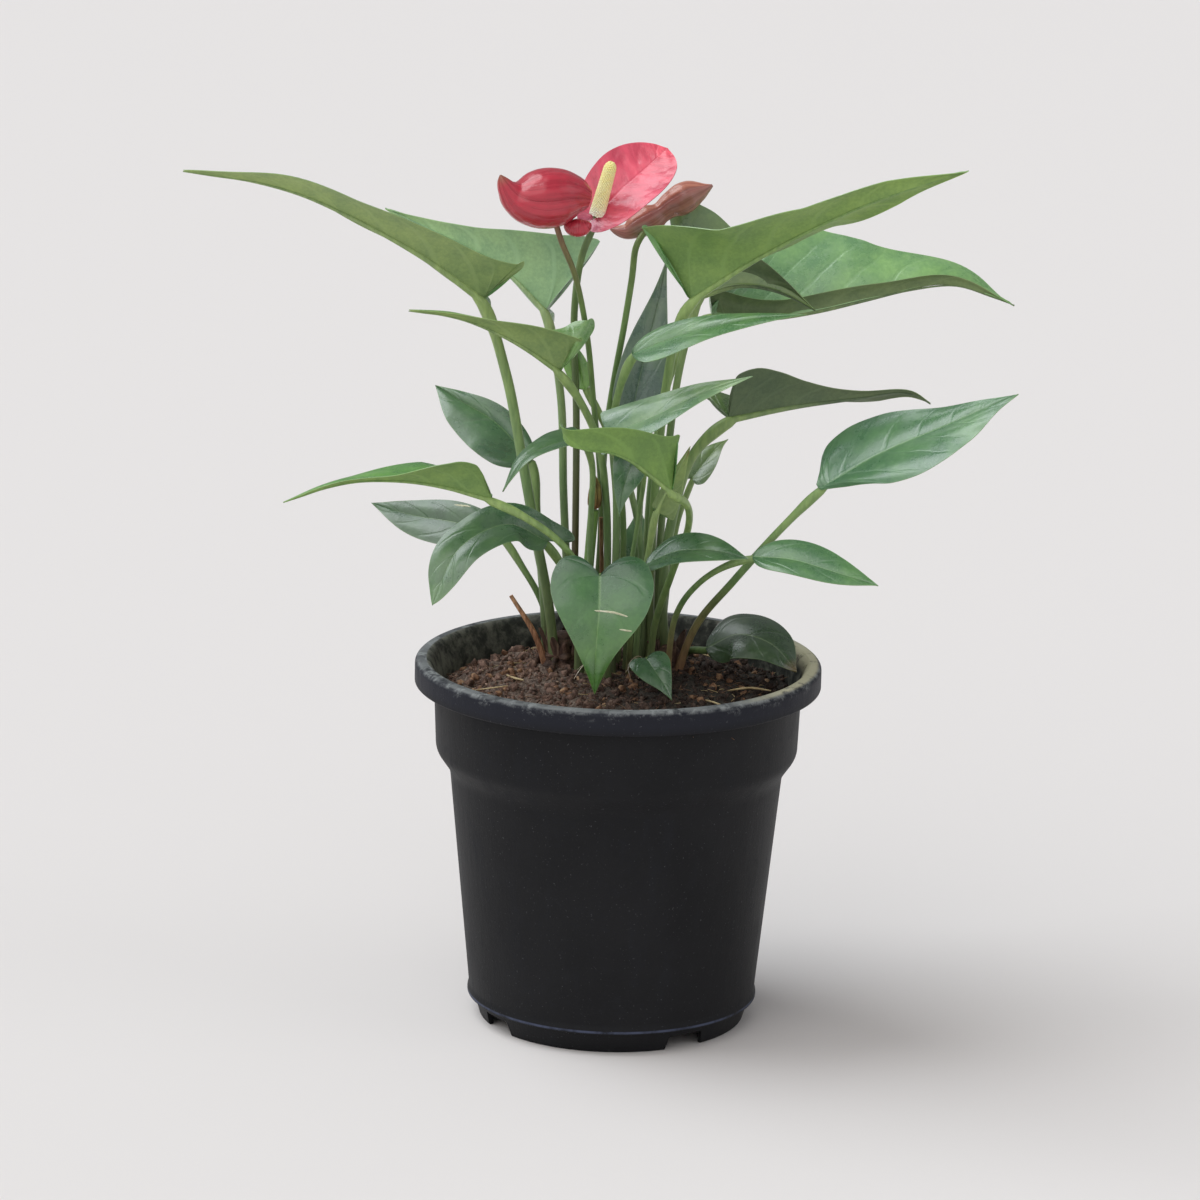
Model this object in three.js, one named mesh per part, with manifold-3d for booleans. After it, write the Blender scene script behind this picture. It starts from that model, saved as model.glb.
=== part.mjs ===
// Potted anthurium: a nursery pot of black plastic, peat, and a plant with 27 leaves and 3 blooms.
// Millimetres, +Z up, the viewer stands at -Y. The origin is the bottom centre of the whole plant's box.
import * as THREE from 'three';
import { mergeVertices } from 'three/addons/utils/BufferGeometryUtils.js';
import Module from 'manifold-3d';

const wasm = await Module();
wasm.setup();

// Driving dimensions of the pot.
const rimRadius = 80;
const potHeight = 145.3;
const rimLipHeight = 9.6;
const rimTopThickness = 4;
const rimTopWidth = 3.5;
const rimEdge = 1.5;
const lipEdge = 0.5;
const mouthRadius = 73.5;
const wall = 2;
const collarTopRadius = 72.4;
const collarFootRadius = 71.3;
const collarFootHeight = 109;
const bodyTopRadius = 65.7;
const bodyTopHeight = 101;
const bodyFootRadius = 56.9;
const baseEdgeRadius = 57.5;
const baseEdgeHeight = 10.2;
const baseEdgeThickness = 1.4;
const footTopRadius = 55;
const footTopHeight = 8.4;
const footRadius = 52.5;
const footInnerTopRadius = 52.4;
const floorUnderside = 6;
const notchWidth = 17;
const notchDepth = 16;
const notchAngles = [-57, 33, 123, 213];
const drainRadius = 4.5;
const drainCircle = 34;
const drainSides = 8;
const potSides = 36;

// Driving dimensions of the peat and of the plant's joints with it.
const peatEdgeHeight = 131;
const peatCrownHeight = 138;
const peatSides = 30;
const peatRings = [58, 46, 34, 22, 11, 0];
const peatGap = 0.6;
const heap = { centreY: 8, radius: 70 };
const leftRise = { centre: [-42, 5], radii: [20, 30], height: 1.6 };
const lumps = { pitch: [6.1, 7.3], start: [1.3, 0.4], height: 0.7 };
const clearance = 0.3;
const stemHoleSpare = 0.48;
const rootDepth = 9;
const thinStem = 1.35;
const stemSteps = 9;
const stalkSink = 0.2;
const stalkGrip = 4;

// Driving dimensions of the spadices, and of the stalk where it carries spathe and spadix.
const spadixRings = 9;
const spadixSides = 8;
const spadixBluntFrom = 0.86;
const spadixTipRounding = 0.94;
const spadixSeatRise = 1.4;
const floretRelief = 0.25;
const stalkInSpadix = 3;
const stalkLead = 6;

// Driving dimensions of what stands low among the stalks.
const crownSides = 9;
const crownSink = 4;
const budSides = 8;

// Driving dimensions shared by all blades.
const bladeColumns = 2;
const leanLimit = 0.65;
const leafThickness = 0.7;
const midribDepth = 0.8;
const spatheThickness = 1;
const veinSlant = 0.22;
const lobeReach = 0.19;
const plantShift = 6.7;

// Outlines of one half of a blade: share of the midrib's length, share of the half width.
// The arrow's lobes end in a corner at the edge, and the heart's are round.
const arrow = [
  [-0.03, 0.12], [-0.08, 0.38], [-0.14, 0.68], [-lobeReach, 0.92], [-0.1, 1], [0.08, 0.98],
  [0.28, 0.87], [0.45, 0.69], [0.62, 0.48], [0.77, 0.28], [0.9, 0.11], [1, 0],
];
const heart = [
  [-0.06, 0.1], [-0.15, 0.3], [-lobeReach, 0.54], [-0.13, 0.8], [0, 0.96], [0.14, 1],
  [0.3, 0.92], [0.46, 0.74], [0.62, 0.5], [0.77, 0.27], [0.9, 0.1], [1, 0],
];
const shield = [
  [-0.08, 0.12], [-0.17, 0.34], [-lobeReach, 0.58], [-0.12, 0.82], [0.04, 0.98], [0.22, 1],
  [0.42, 0.92], [0.6, 0.76], [0.76, 0.54], [0.89, 0.28], [1, 0],
];

const colours = {
  blackPlastic: 0x1c1e26,
  peat: 0x3d2a20,
  freshGreen: 0x6f9a45,
  deepGreen: 0x2f5a3c,
  oliveGreen: 0x4f6b45,
  redBrown: 0x6d3b2c,
  brightRed: 0xc43446,
  deepRed: 0x9c1f2f,
  fadedRed: 0x7d3f3a,
  paleYellow: 0xe4dc86,
  dryBrown: 0x9a6a42,
};

const spot = (values) => new THREE.Vector3(...values);
const spots = (list) => list.map(spot);
const radians = THREE.MathUtils.degToRad;
const blend = THREE.MathUtils.lerp;
const samePoint = 1e-4;

// A closed geometry becomes a solid, and a solid a geometry.
function solidFrom(geometry) {
  const bare = geometry.clone();
  bare.deleteAttribute('normal');
  bare.deleteAttribute('uv');
  const merged = mergeVertices(bare, samePoint);
  const corners = merged.index.array;
  const kept = [];
  for (let i = 0; i < corners.length; i += 3) {
    const [a, b, c] = [corners[i], corners[i + 1], corners[i + 2]];
    if (a !== b && b !== c && c !== a) kept.push(a, b, c);
  }
  const vertProperties = merged.attributes.position.array;
  return new wasm.Manifold(new wasm.Mesh({ numProp: 3, vertProperties, triVerts: new Uint32Array(kept) }));
}

function geometryFrom(solid) {
  const mesh = solid.getMesh();
  const geometry = new THREE.BufferGeometry();
  geometry.setAttribute('position', new THREE.BufferAttribute(new Float32Array(mesh.vertProperties), 3));
  geometry.setIndex(Array.from(mesh.triVerts));
  geometry.computeVertexNormals();
  return geometry;
}

// A cut can leave a crumb behind. The largest body stays.
function mainBody(solid) {
  return solid.decompose().reduce((best, body) => (body.volume() > best.volume() ? body : best));
}

function ringOfPoints(radius, sides) {
  return Array.from({ length: sides }, (_, i) => {
    const turn = (2 * Math.PI * i) / sides;
    return new THREE.Vector2(radius * Math.cos(turn), radius * Math.sin(turn));
  });
}

// A round stem along a smooth curve through the points of its route. Spare widens it all round.
function stemGeometry(route, radius, spare = 0) {
  const sides = radius > thinStem ? 6 : 5;
  const section = new THREE.Shape(ringOfPoints(radius + spare, sides));
  const extrudePath = new THREE.CatmullRomCurve3(route);
  return new THREE.ExtrudeGeometry(section, { steps: stemSteps, bevelEnabled: false, extrudePath });
}

// The room a stem takes up in what it stands in: wider all round, and a little lower.
function stemRoom(route, radius) {
  return solidFrom(stemGeometry(route, radius, stemHoleSpare).translate(0, 0, -clearance));
}

// A profile of [radius, height] pairs turned round the Z axis.
function turnedGeometry(profile, sides) {
  const geometry = new THREE.LatheGeometry(profile.map(([r, z]) => new THREE.Vector2(r, z)), sides);
  return geometry.rotateX(Math.PI / 2);
}

// One half of a blade on each side of its midrib, as a sheet without thickness.
function bladeSheet(outline, place) {
  const points = [];
  const shares = [];
  const faces = [];
  const known = new Map();
  function corner(side, row, column) {
    const [reach, width] = outline[row];
    const start = Math.max(0, reach - veinSlant * width);
    const share = column / bladeColumns;
    const onward = blend(start, reach, share);
    const across = width * share;
    const key = across === 0 ? onward.toFixed(5) : `${side} ${row} ${column}`;
    if (!known.has(key)) {
      known.set(key, points.length);
      points.push(place(onward, across, side));
      shares.push(across === 0 ? onward : -1);
    }
    return known.get(key);
  }
  for (const side of [1, -1]) {
    for (let row = 0; row < outline.length - 1; row += 1) {
      for (let column = 0; column < bladeColumns; column += 1) {
        const inner = corner(side, row, column);
        const outer = corner(side, row, column + 1);
        const nextOuter = corner(side, row + 1, column + 1);
        const nextInner = corner(side, row + 1, column);
        for (const [a, b, c] of [[inner, outer, nextOuter], [inner, nextOuter, nextInner]]) {
          if (a !== b && b !== c && c !== a) faces.push(side > 0 ? [a, b, c] : [a, c, b]);
        }
      }
    }
  }
  return { points, shares, faces };
}

// A sheet gets its thickness: an upper and a lower skin with the same triangles, and a strip round the edge.
function thicken({ points, shares, faces }, thickness, ribDepth) {
  const faceNormals = faces.map(([a, b, c]) => {
    const first = points[b].clone().sub(points[a]);
    return first.cross(points[c].clone().sub(points[a]));
  });
  const normals = points.map(() => new THREE.Vector3());
  faces.forEach((face, i) => face.forEach((corner) => normals[corner].add(faceNormals[i])));
  normals.forEach((normal) => normal.normalize());
  const lean = points.map(() => 1);
  faces.forEach((face, i) => {
    const flat = faceNormals[i].clone().normalize();
    face.forEach((corner) => {
      lean[corner] = Math.min(lean[corner], flat.dot(normals[corner]));
    });
  });
  const reach = lean.map((value) => thickness / 2 / Math.max(value, leanLimit));
  const upper = points.map((point, i) => point.clone().addScaledVector(normals[i], reach[i]));
  const lower = points.map((point, i) => {
    const rib = shares[i] < 0 ? 0 : ribDepth * (1 - shares[i]);
    return point.clone().addScaledVector(normals[i], -reach[i] - rib);
  });
  const count = points.length;
  const index = [];
  const edges = new Set();
  for (const [a, b, c] of faces) {
    index.push(a, b, c, c + count, b + count, a + count);
    for (const [from, to] of [[a, b], [b, c], [c, a]]) edges.add(`${from} ${to}`);
  }
  for (const edge of edges) {
    const [from, to] = edge.split(' ').map(Number);
    if (!edges.has(`${to} ${from}`)) index.push(to, from, from + count, to, from + count, to + count);
  }
  const geometry = new THREE.BufferGeometry();
  geometry.setFromPoints([...upper, ...lower]);
  geometry.setIndex(index);
  return geometry;
}

// The midrib's frame at a share of its length: the point, the way on, the way to the right, and up.
function midribFrame(blade, share) {
  const curve = new THREE.CatmullRomCurve3(spots(blade.midrib));
  const centre = curve.getPointAt(share);
  const onward = curve.getTangentAt(share);
  const rightward = onward.clone().cross(spot(blade.face)).normalize();
  const upward = rightward.clone().cross(onward);
  return { centre, onward, rightward, upward };
}

// The value at a share of the way through a list of evenly spaced values.
function along(values, share) {
  const place = share * (values.length - 1);
  const before = Math.min(Math.floor(place), values.length - 2);
  return blend(values[before], values[before + 1], place - before);
}

// Each half turns up by its fold and by its curl towards the edge. Its lobe reaches back behind the stalk,
// or its sweep draws the edge forward.
function bladePlace(blade) {
  return (reach, across, side) => {
    const share = Math.max(0, reach);
    const { centre, onward, rightward, upward } = midribFrame(blade, share);
    const half = side > 0 ? 0 : 1;
    const curl = blade.curl ? blade.curl[half] : 0;
    const sweep = blade.sweep ? blade.sweep[half] : 0;
    const fold = radians(along(half ? blade.left : blade.right, share) + curl * across);
    const width = blade.half * across;
    const back = (blade.lobe[half] * Math.min(0, reach)) / lobeReach;
    return centre
      .addScaledVector(onward, back + sweep * across * (1 - share) ** 2)
      .addScaledVector(rightward, side * width * Math.cos(fold))
      .addScaledVector(upward, width * Math.sin(fold));
  };
}

function bladeSolid(blade, outline, thickness, ribDepth) {
  return solidFrom(thicken(bladeSheet(outline, bladePlace(blade)), thickness, ribDepth));
}

// A stalk's route: from its root in the peat through its points to the underside of its blade.
function stalkRoute(blade) {
  const { centre, onward, upward } = midribFrame(blade, 0);
  const seat = centre.addScaledVector(upward, stalkSink - blade.stalk);
  const end = seat.clone().addScaledVector(onward, stalkGrip);
  return [rootBelow(blade.foot), ...spots(blade.route), seat, end];
}

// The peat's surface: a low heap round the stems, rising to the left, with shallow lumps.
function peatHeight(x, y) {
  const away = Math.hypot(x, y - heap.centreY) / heap.radius;
  const middle = (peatCrownHeight - peatEdgeHeight) * Math.max(0, 1 - away * away);
  const [riseX, riseY] = leftRise.centre;
  const fromRise = ((x - riseX) / leftRise.radii[0]) ** 2 + ((y - riseY) / leftRise.radii[1]) ** 2;
  const waveX = Math.sin(x / lumps.pitch[0] + lumps.start[0]);
  const waveY = Math.cos(y / lumps.pitch[1] + lumps.start[1]);
  return peatEdgeHeight + middle + leftRise.height * Math.exp(-fromRise) + lumps.height * waveX * waveY;
}

function rootBelow([x, y]) {
  return new THREE.Vector3(x, y, peatHeight(x, y) - rootDepth);
}

// Leaves. The foot is where the stalk leaves the peat, and route holds the points that the stalk passes.
// face is the way the upper side looks, half the half width. right and left hold each half's folds in
// degrees, evenly spaced from base to tip. lobe is how far the lobes reach back behind the stalk.
const leaves = [
  {
    name: 'leaf_01_long_left', colour: 'freshGreen', stalk: 2, foot: [-24, 15],
    route: [[-28, 12, 164], [-33, 9, 190], [-39, 7, 222], [-46, 3, 258]],
    midrib: [[-55, -2, 289], [-82, -10, 309], [-130, -24, 334], [-169, -34, 342]],
    face: [0, 0, 1], half: 25, lobe: [7, 3], right: [5, 5, 5], left: [62, 36, 40],
  },
  {
    name: 'leaf_02_back_left', colour: 'oliveGreen', stalk: 1.6, foot: [-19, 32],
    route: [[-21, 30, 170], [-23, 29, 205], [-25, 31, 245]],
    midrib: [[-31, 34, 277], [-50, 44, 293], [-78, 56, 305], [-96, 62, 312]],
    face: [-0.1, 0.85, 0.5], half: 25, lobe: [0, 2], right: [50, 40], left: [5, 10],
  },
  {
    name: 'leaf_03_middle_left', colour: 'freshGreen', stalk: 1.5, foot: [-6, 13],
    route: [[-5, 13, 170], [-6, 12, 205], [-10, 6, 232], [-19, -2, 252]],
    midrib: [[-25, -6, 262], [-43, -14, 275], [-64, -22, 285], [-83, -30, 289]],
    face: [0, 0, 1], half: 18, lobe: [5, 0], sweep: [0, 3], right: [22, 10], left: [58, 35, 25],
  },
  {
    name: 'leaf_04_inner_left', colour: 'oliveGreen', stalk: 1.3, foot: [-1, 22],
    route: [[1, 20, 170], [0, 19, 205], [-6, 19, 232]],
    midrib: [[-14, 20, 246], [-19, 21, 254], [-24, 22, 262], [-28, 24, 270]],
    face: [-0.2, -0.9, 0.4], outline: heart, half: 8, lobe: [2, 2], right: [10, 10], left: [10, 10],
  },
  {
    name: 'leaf_05_dark_left', colour: 'deepGreen', stalk: 1.7, foot: [-28, 22],
    route: [[-30, 22, 163], [-33, 23, 190]],
    midrib: [[-38, 26, 212], [-52, 36, 224], [-65, 43, 231], [-75, 50, 243]],
    face: [0.1, -0.9, 0.45], outline: heart, half: 12, lobe: [0, 1], right: [8, 8], left: [10, 10],
  },
  {
    name: 'leaf_06_narrow_left', colour: 'deepGreen', stalk: 1.2, foot: [-12, 7],
    route: [[-12, 5, 165], [-12, 0, 200], [-12, -9, 226]],
    midrib: [[-16, -16, 237], [-27, -22, 236], [-38, -27, 231], [-46, -31, 219]],
    face: [0, 0, 1], half: 10, lobe: [2, 2], right: [15, 10], left: [5, 5],
  },
  {
    name: 'leaf_07_bright_front', colour: 'freshGreen', stalk: 1.4, foot: [12, 8],
    route: [[14, 4, 158], [20, -5, 181], [26, -13, 202], [25, -25, 214]],
    midrib: [[19, -36, 222], [-1, -46, 238], [-20, -46, 241], [-24, -32, 246]],
    face: [0, 0.1, 1], half: 16, lobe: [8, 2], right: [10, 10], left: [66, 66, 75],
  },
  {
    name: 'leaf_08_pale_centre', colour: 'oliveGreen', stalk: 1.3, foot: [9, 17],
    route: [[9, 14, 165], [7, 10, 195], [1, 2, 220]],
    midrib: [[-6, -8, 237], [12, -13, 246], [31, -18, 257], [49, -24, 265]],
    face: [-0.3, -0.5, 0.8], half: 12, lobe: [2, 2], right: [10, 5], left: [10, 5],
  },
  {
    name: 'leaf_09_upright', colour: 'deepGreen', stalk: 1.4, foot: [4, 29],
    route: [[6, 25, 165], [7, 22, 195], [7, 20, 222]],
    midrib: [[4, 24, 243], [8, 28, 262], [13, 32, 284], [16, 34, 300]],
    face: [0.1, -0.95, 0.2], outline: heart, half: 11, lobe: [3, 3], right: [18, 14], left: [18, 14],
  },
  {
    name: 'leaf_10_glossy_centre', colour: 'deepGreen', stalk: 1.5, foot: [-3, 6],
    route: [[-2, 6, 172], [-2, 6, 207], [-4, 6, 240]],
    midrib: [[3, -6, 269], [25, -12, 279], [48, -18, 286], [69, -22, 289]],
    face: [-0.15, -0.45, 0.85], half: 12, lobe: [2, 2], right: [10, 5], left: [14, 10],
  },
  {
    name: 'leaf_11_big_right', colour: 'freshGreen', stalk: 1.8, foot: [13, 18],
    route: [[12, 16, 168], [13, 12, 210], [16, 8, 250], [21, 2, 280]],
    midrib: [[25, 0, 290], [51, -8, 309], [89, -18, 331], [129, -26, 347]],
    face: [0, 0, 1], half: 33, lobe: [0, 4], right: [80, 30, 32, 54, 50], left: [0, -4, 0],
  },
  {
    name: 'leaf_12_olive_back', colour: 'oliveGreen', stalk: 1.5, foot: [15, 25],
    route: [[15, 22, 170], [17, 22, 212], [21, 27, 252], [26, 34, 274]],
    midrib: [[29, 38, 284], [45, 40, 291], [62, 42, 293], [78, 42, 289]],
    face: [0, 0, 1], half: 32, lobe: [3, 3], right: [82, 60], left: [78, 70],
  },
  {
    name: 'leaf_13_big_back_right', colour: 'freshGreen', stalk: 1.5, foot: [9, 36],
    route: [[10, 35, 172], [12, 36, 212], [18, 40, 250], [28, 47, 270]],
    midrib: [[34, 50, 276], [69, 56, 286], [112, 60, 292], [156, 64, 277]],
    face: [0, 0, 1], half: 28, lobe: [0, 2], right: [-62, -60, -40], left: [30, 24], curl: [56, 0],
  },
  {
    name: 'leaf_14_hooked_right', colour: 'oliveGreen', stalk: 2, foot: [21, 19],
    route: [[17, 13, 165], [20, 10, 200], [28, 8, 227]],
    midrib: [[41, 6, 242], [65, 12, 252], [97, 22, 253], [121, 30, 244]],
    face: [0, 0, 1], half: 21, lobe: [3, 3], right: [76, 30, 5, 0], left: [0, -5],
  },
  {
    name: 'leaf_15_glossy_right', colour: 'deepGreen', stalk: 1.8, foot: [21, 12],
    route: [[30, 3, 158], [44, -10, 180], [63, -19, 205]],
    midrib: [[76, -24, 221], [98, -29, 236], [124, -36, 250], [150, -42, 264]],
    face: [-0.35, -0.6, 0.7], half: 20, lobe: [0, 0], sweep: [27, 7], right: [8, 5], left: [10, 5],
  },
  {
    name: 'leaf_16_low_right', colour: 'deepGreen', stalk: 1.2, foot: [19, 4],
    route: [[22, -8, 165], [31, -20, 182], [42, -27, 191]],
    midrib: [[51, -30, 195], [66, -34, 195], [82, -40, 192], [99, -44, 188]],
    face: [0, -0.55, 0.8], half: 11, lobe: [0, 0], sweep: [8, 4], right: [5, 5], left: [5, 5],
  },
  {
    name: 'leaf_17_low_centre', colour: 'deepGreen', stalk: 1.1, foot: [4, 7],
    route: [[5, -8, 163], [8, -17, 181]],
    midrib: [[10, -22, 189], [22, -28, 196], [36, -34, 198], [49, -38, 196]],
    face: [0, -0.4, 0.9], half: 10, lobe: [1, 2], right: [5, 5], left: [10, 5],
  },
  {
    name: 'leaf_18_front_heart', colour: 'deepGreen', stalk: 1.3, foot: [-4, -2],
    route: [[-5, -12, 160], [-7, -25, 181]],
    midrib: [[-8, -34, 187], [-8, -41, 176], [-9, -45, 158], [-9, -46, 143]],
    face: [0, -0.95, 0.3], outline: heart, half: 20, lobe: [8, 8], right: [6, 6], left: [6, 6],
  },
  {
    name: 'leaf_19_drooping_left', colour: 'deepGreen', stalk: 1.5, foot: [-15, 9],
    route: [[-17, 3, 160], [-22, -10, 183]],
    midrib: [[-29, -19, 197], [-44, -27, 205], [-62, -38, 198], [-72, -49, 178]],
    face: [-0.3, -0.6, 0.75], outline: heart, half: 18, lobe: [12, 2], right: [5, 5], left: [5, 0],
  },
  {
    name: 'leaf_20_low_back_left', colour: 'deepGreen', stalk: 1.3, foot: [-27, 31],
    route: [[-30, 28, 158], [-39, 28, 175]],
    midrib: [[-48, 30, 187], [-65, 37, 190], [-84, 45, 191], [-100, 52, 194]],
    face: [0, -0.8, 0.6], outline: heart, half: 13, lobe: [2, 2], right: [5, 5], left: [5, 5],
  },
  {
    name: 'leaf_21_bright_low_left', colour: 'freshGreen', stalk: 1.4, foot: [-9, 1],
    route: [[-11, -12, 172], [-22, -28, 197], [-38, -37, 211]],
    midrib: [[-50, -38, 218], [-75, -44, 225], [-104, -50, 226], [-129, -56, 219]],
    face: [0, 0, 1], half: 17, lobe: [0, 0], sweep: [0, 9], right: [5, 5], left: [55, 32, 30],
  },
  {
    name: 'leaf_22_on_peat_right', colour: 'deepGreen', stalk: 1.2, foot: [23, 25],
    route: [[27, 20, 143]],
    midrib: [[35, 9, 148], [47, 4, 155], [60, -3, 153], [70, -10, 144]],
    face: [0.1, -0.5, 0.8], outline: heart, half: 14, lobe: [0, 2], right: [-5, -5], left: [-5, -5],
  },
  {
    name: 'leaf_23_small_front', colour: 'deepGreen', stalk: 1, foot: [13, -3],
    route: [[12, -12, 147]],
    midrib: [[11, -22, 151], [14, -27, 148], [18, -31, 143], [21, -34, 138]],
    face: [0.2, -0.8, 0.5], outline: heart, half: 8, lobe: [2, 2], right: [5, 5], left: [5, 5],
  },
  {
    name: 'leaf_24_inner_back', colour: 'deepGreen', stalk: 1, foot: [3, 37],
    route: [[4, 38, 155]],
    midrib: [[6, 40, 169], [6, 44, 179], [7, 48, 188], [7, 52, 196]],
    face: [0, -0.9, 0.3], outline: heart, half: 9, lobe: [3, 3], right: [10, 10], left: [10, 10],
  },
  {
    name: 'leaf_25_hanging', colour: 'deepGreen', stalk: 1, foot: [3, 12],
    route: [[3, 6, 170], [7, 0, 205], [8, -8, 225]],
    midrib: [[4, -13, 231], [2, -18, 224], [0, -21, 217], [-1, -22, 208]],
    face: [0, -0.9, 0.2], outline: heart, half: 7, lobe: [2, 2], right: [10, 10], left: [10, 10],
  },
  {
    name: 'leaf_26_small_back_right', colour: 'oliveGreen', stalk: 1, foot: [17, 34],
    route: [[19, 33, 165], [23, 33, 195]],
    midrib: [[28, 34, 211], [33, 38, 217], [38, 43, 222], [42, 48, 224]],
    face: [-0.2, -0.5, 0.8], outline: heart, half: 7, lobe: [2, 2], right: [10, 10], left: [10, 10],
  },
  {
    name: 'leaf_27_young', colour: 'freshGreen', stalk: 1.2, foot: [6, 2],
    route: [[8, -2, 168], [11, -9, 192]],
    midrib: [[14, -14, 208], [18, -16, 218], [22, -18, 227], [26, -20, 236]],
    face: [0.6, 0.6, 0.4], half: 7, lobe: [1, 1], right: [40, 40], left: [40, 40],
  },
];

// Blooms: a flower stalk, a spathe as a blade, and a spadix that stands on the stalk's end.
const blooms = [
  {
    name: 'bloom_1', colour: 'deepRed', stalkColour: 'oliveGreen', stalk: 1.3, foot: [-12, 22],
    route: [[-12, 20, 190], [-14, 10, 240], [-18, 2, 294]],
    midrib: [[-27, -4, 317], [-37, -12, 320], [-45, -19, 329], [-48, -24, 342]],
    face: [0.27, 0.62, 0.73], half: 21, lobe: [4, 10], right: [84, 80], left: [38, 42], curl: [0, 18],
    spadix: { lean: [0, 0.1, 1], length: 13, foot: 2.1, top: 1.5 },
  },
  {
    name: 'bloom_2', colour: 'brightRed', stalkColour: 'redBrown', stalk: 1.6, foot: [-18, 21],
    route: [[-19, 19, 180], [-20, 15, 242], [-19, 10, 291]],
    midrib: [[-12, 6, 321], [-3, 10, 330], [8, 17, 339], [17, 24, 346]],
    face: [-0.3, -0.75, 0.6], half: 16, lobe: [3, 5], right: [12, 8], left: [12, 8], curl: [8, 8],
    spadix: { lean: [0.25, -0.15, 1], length: 21, foot: 2.9, top: 2.2 },
  },
  {
    name: 'bloom_3', colour: 'fadedRed', stalkColour: 'oliveGreen', stalk: 1.3, foot: [-8, 31],
    route: [[-8, 30, 180], [-7, 31, 225], [-3, 33, 250], [1, 32, 270], [3, 29, 290]],
    midrib: [[6, 26, 310], [13, 30, 317], [23, 35, 322], [32, 40, 326]],
    face: [0, 0.4, 0.9], half: 12, lobe: [8, 5], right: [50, 40], left: [20, 20],
    spadix: { lean: [0.2, 0.5, 0.9], length: 14, foot: 2, top: 1.4 },
  },
];

const pieces = new THREE.Group();

function addPiece(name, solid, colour, roughness) {
  const material = new THREE.MeshStandardMaterial({ color: colours[colour], roughness, metalness: 0 });
  const mesh = new THREE.Mesh(geometryFrom(solid), material);
  mesh.name = name;
  pieces.add(mesh);
}

// The pot is one wall turned round its axis. Its rim hangs outside the collar as a lip.
const floorTop = floorUnderside + wall;
const rimFoot = potHeight - rimLipHeight;
const rimUnderside = potHeight - rimTopThickness;
const innerBody = [
  [footTopRadius - wall, floorTop],
  [bodyFootRadius - wall, baseEdgeHeight + wall],
  [bodyTopRadius - wall, bodyTopHeight],
  [collarFootRadius - wall, collarFootHeight],
];

function potSolid() {
  const profile = [
    [0, floorUnderside],
    [footInnerTopRadius, floorUnderside],
    [footRadius - wall, 0],
    [footRadius, 0],
    [footTopRadius, footTopHeight],
    [baseEdgeRadius, baseEdgeHeight - baseEdgeThickness],
    [baseEdgeRadius, baseEdgeHeight],
    [bodyFootRadius, baseEdgeHeight + wall],
    [bodyTopRadius, bodyTopHeight],
    [collarFootRadius, collarFootHeight],
    [collarTopRadius, rimFoot],
    [collarTopRadius + wall, rimUnderside],
    [rimRadius - wall, rimUnderside],
    [rimRadius - wall, rimFoot],
    [rimRadius - lipEdge, rimFoot],
    [rimRadius, rimFoot + lipEdge],
    [rimRadius, potHeight - rimEdge],
    [rimRadius - rimEdge, potHeight],
    [rimRadius - rimEdge - rimTopWidth, potHeight],
    [mouthRadius, potHeight - rimEdge],
    [collarTopRadius - wall, rimFoot],
    ...innerBody.toReversed(),
    [0, floorTop],
  ];
  let pot = solidFrom(turnedGeometry(profile, potSides));
  for (const angle of notchAngles) {
    const notch = new THREE.BoxGeometry(notchWidth, notchDepth, 2 * floorUnderside);
    notch.translate(0, -footRadius, 0);
    notch.rotateZ(radians(angle));
    pot = pot.subtract(solidFrom(notch));
    const drain = new THREE.CylinderGeometry(drainRadius, drainRadius, 4 * wall, drainSides);
    drain.rotateX(Math.PI / 2);
    drain.translate(0, -drainCircle, floorUnderside + wall / 2);
    drain.rotateZ(radians(angle));
    pot = pot.subtract(solidFrom(drain));
  }
  return pot;
}

// The peat fills the pot. Its top rings are lifted to the surface, and every stem gets a plain hole.
function peatSolid(rooms) {
  const inset = innerBody.map(([r, z]) => [r - peatGap, z]);
  inset[0][1] += clearance;
  const profile = [
    [0, floorTop + clearance],
    ...inset,
    [collarTopRadius - wall - peatGap, peatEdgeHeight],
    ...peatRings.map((radius) => [radius, potHeight]),
  ];
  const geometry = turnedGeometry(profile, peatSides);
  const positions = geometry.getAttribute('position');
  for (let i = 0; i < positions.count; i += 1) {
    if (positions.getZ(i) > peatEdgeHeight + 1) {
      positions.setZ(i, peatHeight(positions.getX(i), positions.getY(i)));
    }
  }
  return rooms.reduce((peat, room) => peat.subtract(room), solidFrom(geometry));
}

const rooms = [];

for (const leaf of leaves) {
  const route = stalkRoute(leaf);
  const blade = bladeSolid(leaf, leaf.outline ?? arrow, leafThickness, midribDepth);
  addPiece(leaf.name, blade.add(solidFrom(stemGeometry(route, leaf.stalk))), leaf.colour, 0.45);
  rooms.push(stemRoom(route, leaf.stalk));
}

// A spadix: a blunt rod whose florets stand out in turn, ring by ring.
function spadixGeometry(seat, { lean, length, foot, top }, spare = 0) {
  const profile = [[0, 0]];
  for (let ring = 0; ring <= spadixRings; ring += 1) {
    const share = ring / spadixRings;
    const intoTip = Math.max(0, (share - spadixBluntFrom) / (1 - spadixBluntFrom));
    const round = Math.sqrt(1 - spadixTipRounding * intoTip ** 2);
    const floret = ring % 2 === 0 ? 0 : floretRelief;
    profile.push([(blend(foot, top, share) + spare + floret) * round, share * length]);
  }
  profile.push([0, length]);
  const geometry = turnedGeometry(profile, spadixSides);
  const upright = new THREE.Vector3(0, 0, 1);
  geometry.applyQuaternion(new THREE.Quaternion().setFromUnitVectors(upright, spot(lean).normalize()));
  return geometry.translate(...seat);
}

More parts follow.
